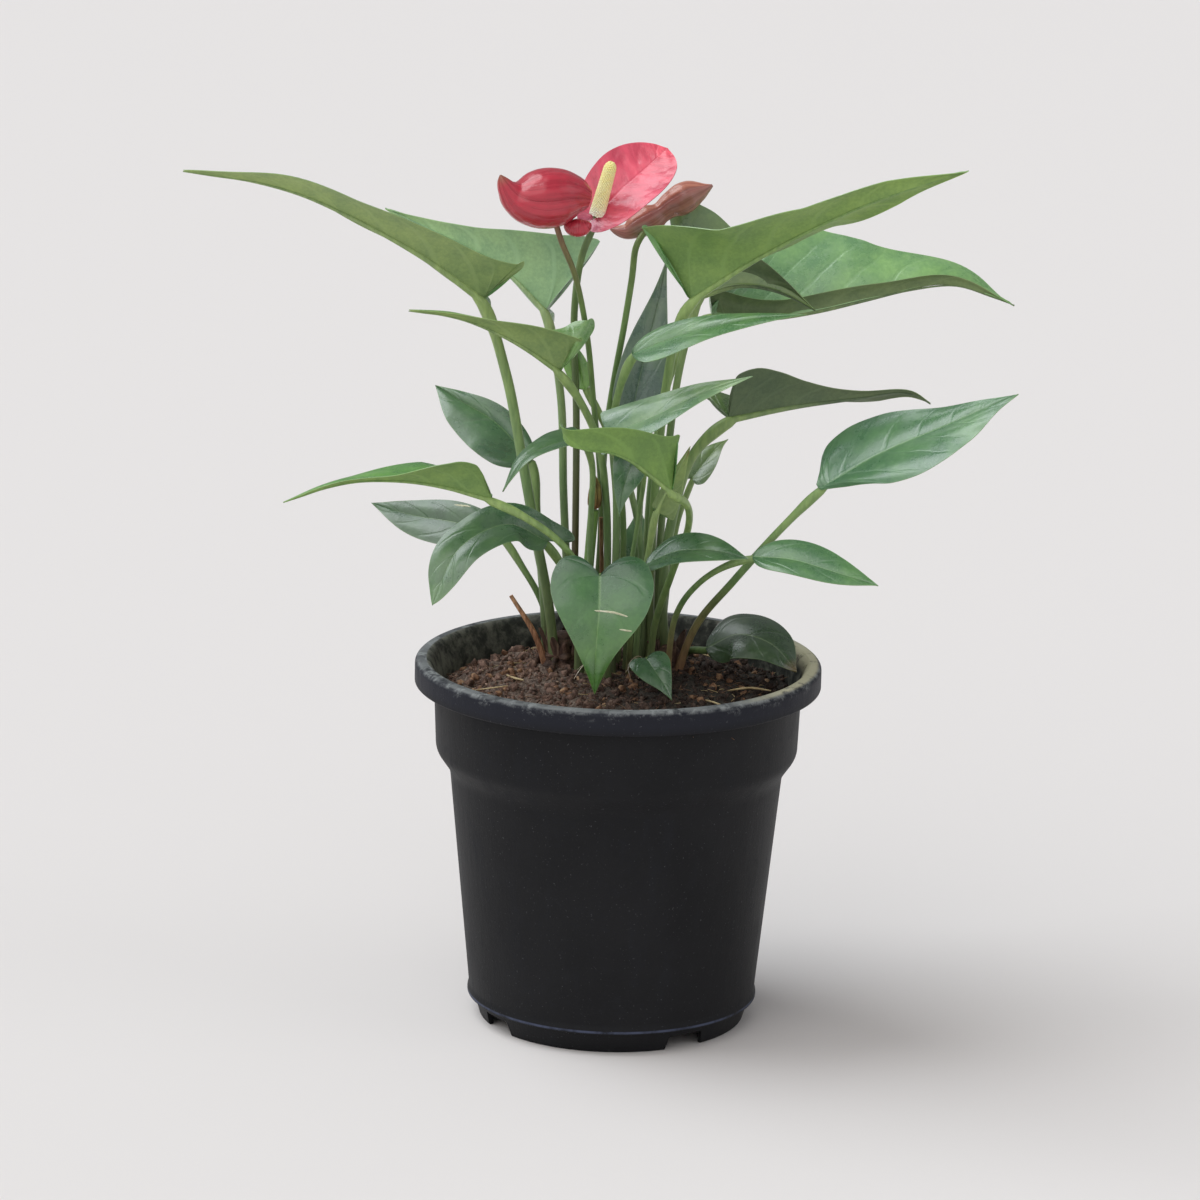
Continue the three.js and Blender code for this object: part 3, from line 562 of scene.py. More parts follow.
def bladeSheet(blade):
    rows, columns = bladeSettings["rows"], bladeSettings["columns"]
    rowShares = np.linspace(0, 1, rows + 1)
    column = np.linspace(0, 1, columns + 1) ** 0.9
    edges = {}
    for side in (1, -1):
        margin = Route([(*pair, 0) for pair in outlines[sided(blade["outline"], side)]])
        edges[side] = margin.at(rowShares)
    slant = bladeSettings["veinSlant"]
    start = sum(np.maximum(0, edge[:, 0] - slant * edge[:, 1]) for edge in edges.values()) / 2
    points, faces, uvs, distances = [], [], [], []
    for side, edge in edges.items():
        reach, width = edge[:, 0], np.maximum(edge[:, 1], 0)
        width[-1] = 0
        onward = start[:, None] + (reach - start)[:, None] * column
        across = width[:, None] * column
        base = len(points) * (rows + 1) * (columns + 1)
        points.append(bladePoints(blade, onward, across, side).reshape(-1, 3))
        distances.append(((width * sided(blade["half"], side))[:, None] * (1 - column)).ravel())
        sideFaces, sideUvs = gridFaces(
            rows, columns, lambda row, step: (rowShares[row] * blade["veins"], column[step]), base, side < 0)
        faces += sideFaces
        uvs += sideUvs
    return weld(np.vstack(points), faces, uvs, np.concatenate(distances))


def weld(points, faces, uvs, distances):         # joins corners that share a place, and drops empty faces
    _, kept, merged = np.unique(np.round(points, 4), axis=0, return_index=True, return_inverse=True)
    merged = merged.ravel()
    cleanFaces, cleanUvs = [], []
    for face, uv in zip(faces, uvs):
        corners = [int(merged[corner]) for corner in face]
        keep = [i for i in range(4) if corners[i] != corners[i - 1]]
        if len(keep) > 2:
            cleanFaces.append([corners[i] for i in keep])
            cleanUvs.append([uv[i] for i in keep])
    return points[kept], cleanFaces, cleanUvs, distances[kept]


def furlSheet(blade):                            # a spathe still rolled round itself, along its furl rows
    rows, columns = bladeSettings["rows"], bladeSettings["furlColumns"]
    share = 0.5 - 0.5 * np.cos(np.linspace(0, np.pi, rows + 1))
    stations = Route(blade["furl"]).at(share)
    headings = unit(np.gradient(stations[:, :3], axis=0))
    turned = np.linspace(0, 1, columns + 1)
    turns = np.radians(bladeSettings["furlSeam"] + turned * bladeSettings["furlWrap"])
    across = np.cross(headings[0], [0, 1, 0])
    points, distances = [], []
    for station, heading in zip(stations, headings):
        across = unit(across - heading * np.dot(across, heading))
        side = np.cross(heading, across)
        reach = station[3] * (1 + bladeSettings["furlGrowth"] * turned)
        points.append(ringAt(station[:3], reach, turns, across, side))
        distances.append(np.minimum(turned, 1 - turned) * station[3] * bladeSettings["furlEdge"])
    counts, heights = turned * bladeSettings["furlVeins"], blend(*bladeSettings["furlAcross"], share)
    faces, uvs = gridFaces(rows, columns, lambda row, step: (counts[step], heights[row]))
    return weld(np.vstack(points), faces, uvs, np.concatenate(distances))


def sheetNormals(points, faces):
    normals = np.zeros_like(points)
    for size in (3, 4):
        group = np.array([face for face in faces if len(face) == size])
        if len(group):
            corners = points[group]
            first = corners[:, 2] - corners[:, 0]
            second = corners[:, size - 1] - corners[:, 1 if size == 4 else 0]
            flat = np.cross(first, second) if size == 4 else np.cross(corners[:, 1] - corners[:, 0], first)
            for k in range(size):
                np.add.at(normals, group[:, k], flat)
    return unit(normals)


def addBlade(form, blade):
    points, faces, uvs, edges = furlSheet(blade) if "furl" in blade else bladeSheet(blade)
    normals = sheetNormals(points, faces)
    rise = np.zeros(len(points))
    shares = np.zeros(len(points))
    half, veins = np.max(blade["half"]), blade["veins"]
    for face, uv in zip(faces, uvs):
        for corner, (count, across) in zip(face, uv):
            phase = count - across * across * skin["veinBend"]
            swell = math.sin(math.pi * (phase % 1.0)) ** 0.7 * math.sin(math.pi * min(1, across * 1.05))
            ripple = across ** 3 * math.sin(2 * math.pi * phase / bladeSettings["waveVeins"] + half)
            arch = math.sin(math.pi * min(1, across)) * (1 - (count / veins) ** 2)
            rise[corner] = blade["quilt"] * swell + blade["wave"] * ripple + blade["camber"] * arch
            shares[corner] = count / veins
    rise *= half / bladeSettings["fullHalf"]
    shade = tintedBy(shares, blade["shade"], (0, 0.5, 1))
    ends = [bladeSettings["rimThickness"] / 2, blade["thickness"] / 2]
    depth = np.interp(edges, [0, bladeSettings["rimReach"]], ends)
    upper = points + normals * (rise + depth)[:, None]
    lower = points + normals * (rise - depth)[:, None]
    count = len(points)
    flatUvs = [pair for uv in uvs for pair in uv]
    form.add(upper, faces, 0, flatUvs, shade * blade["upper"], edges)
    lowerUvs = [pair for uv in uvs for pair in uv[::-1]]
    form.add(lower, [face[::-1] for face in faces], 1, lowerUvs, shade * blade["under"], edges)
    used = dict.fromkeys(pair for face in faces for pair in zip(face, face[1:] + face[:1]))
    rim = [pair for pair in used if pair[::-1] not in used]
    base = form.count - 2 * count
    for start, end in rim:
        form.faces.append([base + end, base + start, base + start + count, base + end + count])
        form.uvs += [(0, 1)] * 4
        form.slots.append(0)


# Leaves. A skin gives the tints of the upper side, the under side and the stalk's foot, middle and neck.
leafSkins = {
    "fresh": {"slot": "leaf_fresh", "upper": (0.13, 0.29, 0.1), "under": (0.255, 0.355, 0.145),
              "stalkTints": ((0.14, 0.16, 0.08), (0.18, 0.3, 0.11), (0.33, 0.45, 0.17))},
    "bright": {"slot": "leaf_fresh", "upper": (0.13, 0.31, 0.085), "under": (0.2, 0.325, 0.1),
               "stalkTints": ((0.15, 0.16, 0.08), (0.2, 0.33, 0.11), (0.3, 0.43, 0.15))},
    "deep": {"slot": "leaf_deep", "upper": (0.064, 0.15, 0.068), "under": (0.16, 0.25, 0.12),
             "stalkTints": ((0.13, 0.14, 0.075), (0.16, 0.27, 0.1), (0.24, 0.36, 0.13))},
    "blue": {"slot": "leaf_deep", "upper": (0.075, 0.14, 0.09), "under": (0.16, 0.25, 0.15),
             "stalkTints": ((0.14, 0.15, 0.08), (0.16, 0.27, 0.11), (0.24, 0.35, 0.15))},
    "olive": {"slot": "leaf_olive", "upper": (0.16, 0.25, 0.1), "under": (0.095, 0.14, 0.072),
              "stalkTints": ((0.13, 0.14, 0.075), (0.16, 0.26, 0.1), (0.27, 0.38, 0.14))},
    "dark": {"slot": "leaf_deep", "upper": (0.05, 0.09, 0.047), "under": (0.1, 0.15, 0.08),
             "stalkTints": ((0.1, 0.11, 0.055), (0.09, 0.15, 0.055), (0.14, 0.22, 0.08))},
    "hazy": {"slot": "leaf_olive", "upper": (0.2, 0.34, 0.2), "under": (0.3, 0.48, 0.27),
             "stalkTints": ((0.13, 0.15, 0.08), (0.18, 0.29, 0.12), (0.32, 0.43, 0.19))},
}
leafSkins["lush"] = {**leafSkins["deep"], "upper": (0.1, 0.25, 0.085), "under": (0.16, 0.27, 0.1)}
scarSettings = {"radius": 0.5, "depth": 0.22, "steps": 16, "sides": 8, "ends": (0.08, 0.92)}
tipSettings = {"reach": 5, "full": 1.3}
stalkSettings = {
    "sides": 12, "steps": 64, "rootDepth": 9, "sheath": 0.35, "sheathLength": 14, "knuckle": 0.3,
    "knuckleAt": 6, "knuckleLength": 7, "neckLength": 26, "ribStart": 0.75, "ribEnd": 0.12, "ribSunk": 0.8,
    "ribSteps": 40, "seatLift": 0.2,
}


def rootOf(foot):                                # a stalk starts below the peat's surface
    return [*foot, peatHeight(*foot) - stalkSettings["rootDepth"]]


def sheathAt(travel):                            # how much of the foot's swelling is left along a stalk
    fromFoot = travel - stalkSettings["rootDepth"]
    return np.clip(1 - fromFoot / stalkSettings["sheathLength"], 0, 1.2) ** 1.5


def addStalk(form, blade):
    share = np.array([0, 0.04, 0.1, 0.2, 0.35, 0.5, 0.65, 0.8, 0.92, 1])
    centre, _, _, upward = midribFrame(blade, share)
    radius = blade["stalk"]
    ribRadius = radius * blend(stalkSettings["ribStart"], stalkSettings["ribEnd"], share ** 0.7)
    under = centre - upward * (ribRadius * stalkSettings["ribSunk"])[:, None]
    seat = centre[0] + upward[0] * (stalkSettings["seatLift"] - radius)
    stalk = Route([rootOf(blade["foot"]), *blade["route"], seat, under[2]])
    seatShare = 1 - np.linalg.norm(under[2] - seat) / stalk.length
    shares = np.linspace(0, seatShare, stalkSettings["steps"])
    line = stalk.at(shares)
    toSeat = (seatShare - shares) * stalk.length
    sheath = stalkSettings["sheath"] * sheathAt(shares * stalk.length)
    knuckleAt, knuckleLength = stalkSettings["knuckleAt"], stalkSettings["knuckleLength"]
    knuckle = stalkSettings["knuckle"] * np.exp(-((toSeat - knuckleAt) / knuckleLength) ** 2)
    radii = radius * (1 + sheath + knuckle)
    footTint, middleTint, neckTint = blade["stalkTints"]
    tint = tintedBy(shares / seatShare, (blade.get("footTint", footTint), middleTint, neckTint))
    neck = np.clip(1 - toSeat / stalkSettings["neckLength"], 0, 1)[:, None]
    tint = tint * (1 - neck) + np.array(neckTint) * neck
    ribShares = np.linspace(0.03, 1, stalkSettings["ribSteps"])
    ribLine = Route(under).at(ribShares)
    ribRadii = np.interp(ribShares, share, ribRadius)
    ribTint = tintedBy(ribShares, (neckTint, blade["under"], blade["under"]), (0, 0.5, 1))
    form.tube(np.vstack([line, ribLine]), np.concatenate([radii, ribRadii]), stalkSettings["sides"], 2,
              np.vstack([tint, ribTint]))


def addScars(form, scars):                       # pale dry scratches that lie on the blade
    points = np.vstack(form.points)
    tree = BVHTree.FromPolygons(points.tolist(), form.faces)
    steps = scarSettings["steps"]
    for scar in scars:
        line = []
        for point in Route(scar).at(np.linspace(0, 1, steps)):
            place, normal, _, _ = tree.find_nearest(Vector(point))
            line.append(place - normal * scarSettings["depth"])
        taper = np.sin(np.pi * np.linspace(*scarSettings["ends"], steps)) ** 0.5
        form.tube(line, scarSettings["radius"] * taper, scarSettings["sides"], 3)


def tintAround(form, place, reach, tint, full=1.0, power=1.0):     # blends a tint in near a place
    for layer, points in enumerate(form.points):
        away = np.linalg.norm(points - np.array(place), axis=1)
        share = np.clip(full - away / reach, 0, 1)[:, None] ** power
        form.tints[layer] = blend(form.tints[layer], np.array(tint), share)


def addLeaf(leaf):
    leaf = {**plainBlade, **leafSkins[leaf["skin"]], **leaf}
    leaf["rib"] = Route(leaf["midrib"])
    leaf["veins"] = max(5, round(leaf["rib"].length / 10))
    form = Form()
    addBlade(form, leaf)
    if "tipTint" in leaf:
        tintAround(form, leaf["midrib"][-1], tipSettings["reach"], leaf["tipTint"], tipSettings["full"])
    addScars(form, leaf["scars"])
    addStalk(form, leaf)
    skins = [materials[name] for name in ("upper", "under", "stalk", "scar")]
    piece = form.build(leaf["name"] + "_grown", skins)
    settle(piece, leaf["slot"], leaf["name"])


# The peat's surface is the same low heap as the source's, with the same shallow lumps.
peat = {"edgeHeight": 131, "crownHeight": 138, "heapY": 8, "heapRadius": 70, "floor": 8.3,
        "wall": ((69.3, 122), (68.7, 109), (63.1, 101), (54.3, 12.2)), "floorRadius": 52.4,
        "rise": (-42, 5), "riseRadii": (20, 30), "riseHeight": 1.6,
        "pitch": (6.1, 7.3), "start": (1.3, 0.4), "lumpHeight": 0.7,
        "edgeRadius": 69.8, "smoothEdge": 6, "edgeClods": 0.4, "rings": 90, "sectors": 220,
        "clods": ((10, 2.0), (4.2, 1.5), (1.6, 0.6))}


def peatHeight(x, y):
    away = math.hypot(x, y - peat["heapY"]) / peat["heapRadius"]
    middle = (peat["crownHeight"] - peat["edgeHeight"]) * max(0, 1 - away * away)
    rise = sum(((value - centre) / radius) ** 2
               for value, centre, radius in zip((x, y), peat["rise"], peat["riseRadii"]))
    across, along = (value / pitch + start
                     for value, pitch, start in zip((x, y), peat["pitch"], peat["start"]))
    lumps = math.sin(across) * math.cos(along)
    return peat["edgeHeight"] + middle + peat["riseHeight"] * math.exp(-rise) + peat["lumpHeight"] * lumps


def roughPeatHeight(x, y):
    clods = sum(height * noise.noise(Vector((x / size, y / size, size))) for size, height in peat["clods"])
    edge = min(1, max(0, (peat["edgeRadius"] - math.hypot(x, y)) / peat["smoothEdge"]))
    return peatHeight(x, y) + clods * blend(peat["edgeClods"], 1, edge)


def peatSkin(graph):
    broad = graph.noise(24, 4)
    fine = graph.noise(1.5, 6, 0.7)
    # Painted shade: towards the east the peat turns from the reddish lit colour to the dark shaded one, as
    # if lit from the west. Broad random patches are mixed in.
    eastShade = graph.axis(graph.place(), "X").step(-45, 30)
    reddish = graph.ramp(fine, [(0.3, (0.03, 0.021, 0.017)), (0.5, (0.115, 0.08, 0.064)),
                                (0.64, (0.26, 0.195, 0.16)), (0.78, (0.43, 0.35, 0.29))])
    dark = graph.ramp(fine, [(0.3, (0.011, 0.01, 0.009)), (0.55, (0.045, 0.037, 0.031)),
                             (0.72, (0.12, 0.098, 0.08)), (0.85, (0.2, 0.17, 0.14))])
    shadeAndPatches = eastShade * 0.75 + broad * 0.35
    colour = graph.mix(shadeAndPatches.step(0.2, 0.9), reddish, dark)
    return colour, 0.8 + fine * 0.15, 0.5 * fine + 0.5 * graph.noise(0.6, 3), {"Specular IOR Level": 0.3}


def addPeat():
    form = Form()
    points = [[0, 0, roughPeatHeight(0, 0)]]
    sectors = peat["sectors"]
    turns = [2 * math.pi * k / sectors for k in range(sectors)]
    for ring in range(1, peat["rings"] + 1):
        radius = peat["edgeRadius"] * ring / peat["rings"]
        points += ringPoints(turns, radius, 0)
    for point in points[1:]:
        point[2] = roughPeatHeight(point[0], point[1])
    topCount = len(points)
    for radius, height in (*peat["wall"], (peat["floorRadius"], peat["floor"])):
        points += ringPoints(turns, radius, height)
    points.append([0, 0, peat["floor"]])
    faces = [[0, 1 + k, 1 + (k + 1) % sectors] for k in range(sectors)]
    ringCount = (len(points) - 2) // sectors
    for ring in range(ringCount - 1):
        for k in range(sectors):
            low, after = 1 + ring * sectors, (k + 1) % sectors
            faces.append([low + k, low + sectors + k, low + sectors + after, low + after])
    last = 1 + (ringCount - 1) * sectors
    faces += [[last + k, len(points) - 1, last + (k + 1) % sectors] for k in range(sectors)]
    form.add(np.array(points, float), faces)
    piece = form.build("peat_bed", [materials["peat"]], 180)
    settle(piece, "peat_brown", "peat")
    top = Form()
    topFaces = [face for face in faces if max(face) < topCount]
    top.add(np.array(points[:topCount], float), topFaces)
    return top.build("peat_top", [materials["peat"]], 180)


# Repeats are grown by node trees: crumbs, chips and fibres on the peat's top, and the florets of a spadix.
fullTurn = 6.28                                  # radians, the most that a strewn piece is turned


def newTree(name, inputs):
    tree = bpy.data.node_groups.new(name, "GeometryNodeTree")
    graph = Graph(tree)
    tree.interface.new_socket("Geometry", in_out="INPUT", socket_type="NodeSocketGeometry")
    for label, (kind, value) in inputs.items():
        socket = tree.interface.new_socket(label, in_out="INPUT", socket_type="NodeSocket" + kind)
        socket.default_value = value
    tree.interface.new_socket("Geometry", in_out="OUTPUT", socket_type="NodeSocketGeometry")
    entry = tree.nodes.new("NodeGroupInput")
    sockets = {socket.name: Wire(graph, socket) for socket in entry.outputs if socket.name}
    return tree, graph, sockets


def endTree(graph, geometry, material):
    realized = graph.node("GeometryNodeRealizeInstances", {}, {"Geometry": geometry})
    painted = graph.node("GeometryNodeSetMaterial", {}, {"Geometry": realized, "Material": material})
    graph.node("NodeGroupOutput", {}, {"Geometry": painted})


def grow(name, base, tree, settings, slot):      # runs a tree on a copy of base and keeps the plain mesh
    host = addObject(name + "_host", base.data)
    modifier = host.modifiers.new("grow", "NODES")
    modifier.node_group = tree
    for item in tree.interface.items_tree:
        if item.in_out == "INPUT" and item.name in settings:
            modifier[item.identifier] = settings[item.name]
    mesh = evaluatedMesh(host)
    mesh.name = name
    bpy.data.objects.remove(host)
    piece = addObject(name, mesh)
    mesh.shade_smooth()
    settle(piece, slot)
    return piece


def randomVector(graph, limits, seed):
    values = {0: limits[0], 1: limits[1], "Seed": seed}
    return graph.node("FunctionNodeRandomValue", {"data_type": "FLOAT_VECTOR"}, values)


def scatter(graph, entry, instance, turns, sizes):   # copies of one thing, strewn on the tree's geometry
    spread = {"Mesh": entry["Geometry"], "Density": entry["Density"], "Seed": entry["Seed"]}
    points = graph.node("GeometryNodeDistributePointsOnFaces", {"distribute_method": "RANDOM"}, spread)
    placed = {"Points": points, "Instance": instance,
              "Rotation": randomVector(graph, turns, entry["Seed"] + 1),
              "Scale": randomVector(graph, sizes, entry["Seed"] + 2)}
    strewn = graph.node("GeometryNodeInstanceOnPoints", {}, placed)
    return graph.node("GeometryNodeRealizeInstances", {}, {"Geometry": strewn})


def crumbTree():
    tree, graph, entry = newTree("crumbs", {
        "Density": ("Float", 1.0), "Size": ("Float", 0.001), "Roughening": ("Float", 0.0004),
        "Seed": ("Int", 0), "Material": ("Material", None)})
    lump = graph.node("GeometryNodeMeshIcoSphere", {}, {"Radius": entry["Size"], "Subdivisions": 1})
    turns = (0, 0, 0), (fullTurn, fullTurn, fullTurn)
    solid = scatter(graph, entry, lump, turns, ((0.35, 0.35, 0.25), (1.5, 1.2, 0.9)))
    rough = graph.node("ShaderNodeTexNoise", {}, {"Scale": 900.0, "Detail": 2.0}, 1)
    offset = graph.node("ShaderNodeVectorMath", {"operation": "SUBTRACT"}, {0: rough, 1: (0.5, 0.5, 0.5)})
    reach = {0: offset, "Scale": entry["Roughening"] * 4}
    scaled = graph.node("ShaderNodeVectorMath", {"operation": "SCALE"}, reach)
    shaped = graph.node("GeometryNodeSetPosition", {}, {"Geometry": solid, "Offset": scaled})
    endTree(graph, shaped, entry["Material"])
    return tree


def fibreTree():
    tree, graph, entry = newTree("fibres", {
        "Density": ("Float", 1.0), "Length": ("Float", 0.008), "Thickness": ("Float", 0.0001),
        "Bow": ("Float", 0.25), "Tilt": ("Float", 0.4), "Seed": ("Int", 0), "Material": ("Material", None)})
    half = entry["Length"] * 0.5
    start, middle = graph.vector(half * -1.0), graph.vector(y=entry["Length"] * entry["Bow"])
    ends = {"Resolution": 6, "Start": start, "Middle": middle, "End": graph.vector(half)}
    strand = graph.node("GeometryNodeCurveQuadraticBezier", {}, ends)
    tilt = entry["Tilt"]
    turns = graph.vector(tilt * -1.0, tilt * -1.0), graph.vector(tilt, tilt, fullTurn)
    curves = scatter(graph, entry, strand, turns, ((0.3, 0.3, 0.3), (1.3, 1.6, 1.3)))
    ring = {"Resolution": 4, "Radius": entry["Thickness"]}
    profile = graph.node("GeometryNodeCurvePrimitiveCircle", {}, ring)
    tubes = {"Curve": curves, "Profile Curve": profile, "Fill Caps": True}
    made = graph.node("GeometryNodeCurveToMesh", {}, tubes)
    endTree(graph, made, entry["Material"])
    return tree


litter = {                                       # per square metre, sizes in metres
    "peat_crumbs": ("crumbs", "crumb", {"Density": 150000.0, "Size": 0.0011, "Roughening": 0.0005,
                                        "Seed": 3}),
    "peat_clods": ("crumbs", "crumb", {"Density": 20000.0, "Size": 0.0026, "Roughening": 0.0012,
                                       "Seed": 11}),
    "bark_chips": ("crumbs", "chip", {"Density": 9000.0, "Size": 0.0021, "Roughening": 0.0008, "Seed": 23}),
    "coir_fibres": ("fibres", "coir", {"Density": 42000.0, "Length": 0.008, "Thickness": 0.00011,
                                       "Bow": 0.3, "Tilt": 0.5, "Seed": 31}),
    "pale_fibres": ("fibres", "straw", {"Density": 5200.0, "Length": 0.009, "Thickness": 0.00014,
                                        "Bow": 0.2, "Tilt": 0.35, "Seed": 47}),
}


def addLitter(top):
    trees = {"crumbs": crumbTree(), "fibres": fibreTree()}
    for name, (kind, finish, settings) in litter.items():
        grow(name, top, trees[kind], {**settings, "Material": materials[finish]}, "peat_brown")


def crumbSkin(graph):
    # Painted shade: towards the east the crumbs turn darker and bluer, as the peat under them does.
    eastShade = graph.axis(graph.place(), "X").step(-40, 35)
    each = graph.noise(2.6, 5, 0.75)
    colour = graph.ramp(each, [(0.3, (0.02, 0.012, 0.009)), (0.46, (0.085, 0.047, 0.034)),
                               (0.58, (0.21, 0.125, 0.095)), (0.72, (0.42, 0.3, 0.23))])
    colour = graph.mix(eastShade * 0.85, colour, graph.tinted(colour, (0.2, 0.23, 0.25)))
    return colour, 0.82, 0.15 * graph.noise(0.5, 4, 0.7), {"Specular IOR Level": 0.3}


def chipSkin(graph):
    each = graph.noise(3.5, 3, 0.6)
    colour = graph.ramp(each, [(0.35, (0.07, 0.032, 0.016)), (0.5, (0.2, 0.1, 0.055)),
                               (0.66, (0.42, 0.27, 0.16))])
    return colour, 0.8, 0.1 * graph.noise(0.4, 4, 0.7), {"Specular IOR Level": 0.3}


def coirSkin(graph):
    colour = graph.ramp(graph.noise(4, 2), [(0.35, (0.05, 0.024, 0.013)), (0.65, (0.24, 0.13, 0.07))])
    return colour, 0.75, None, {}


def strawSkin(graph):
    colour = graph.ramp(graph.noise(5, 3), [(0.35, (0.3, 0.2, 0.09)), (0.65, (0.62, 0.5, 0.28))])
    return colour, 0.6, 0.05 * graph.noise(0.6, 3), {}


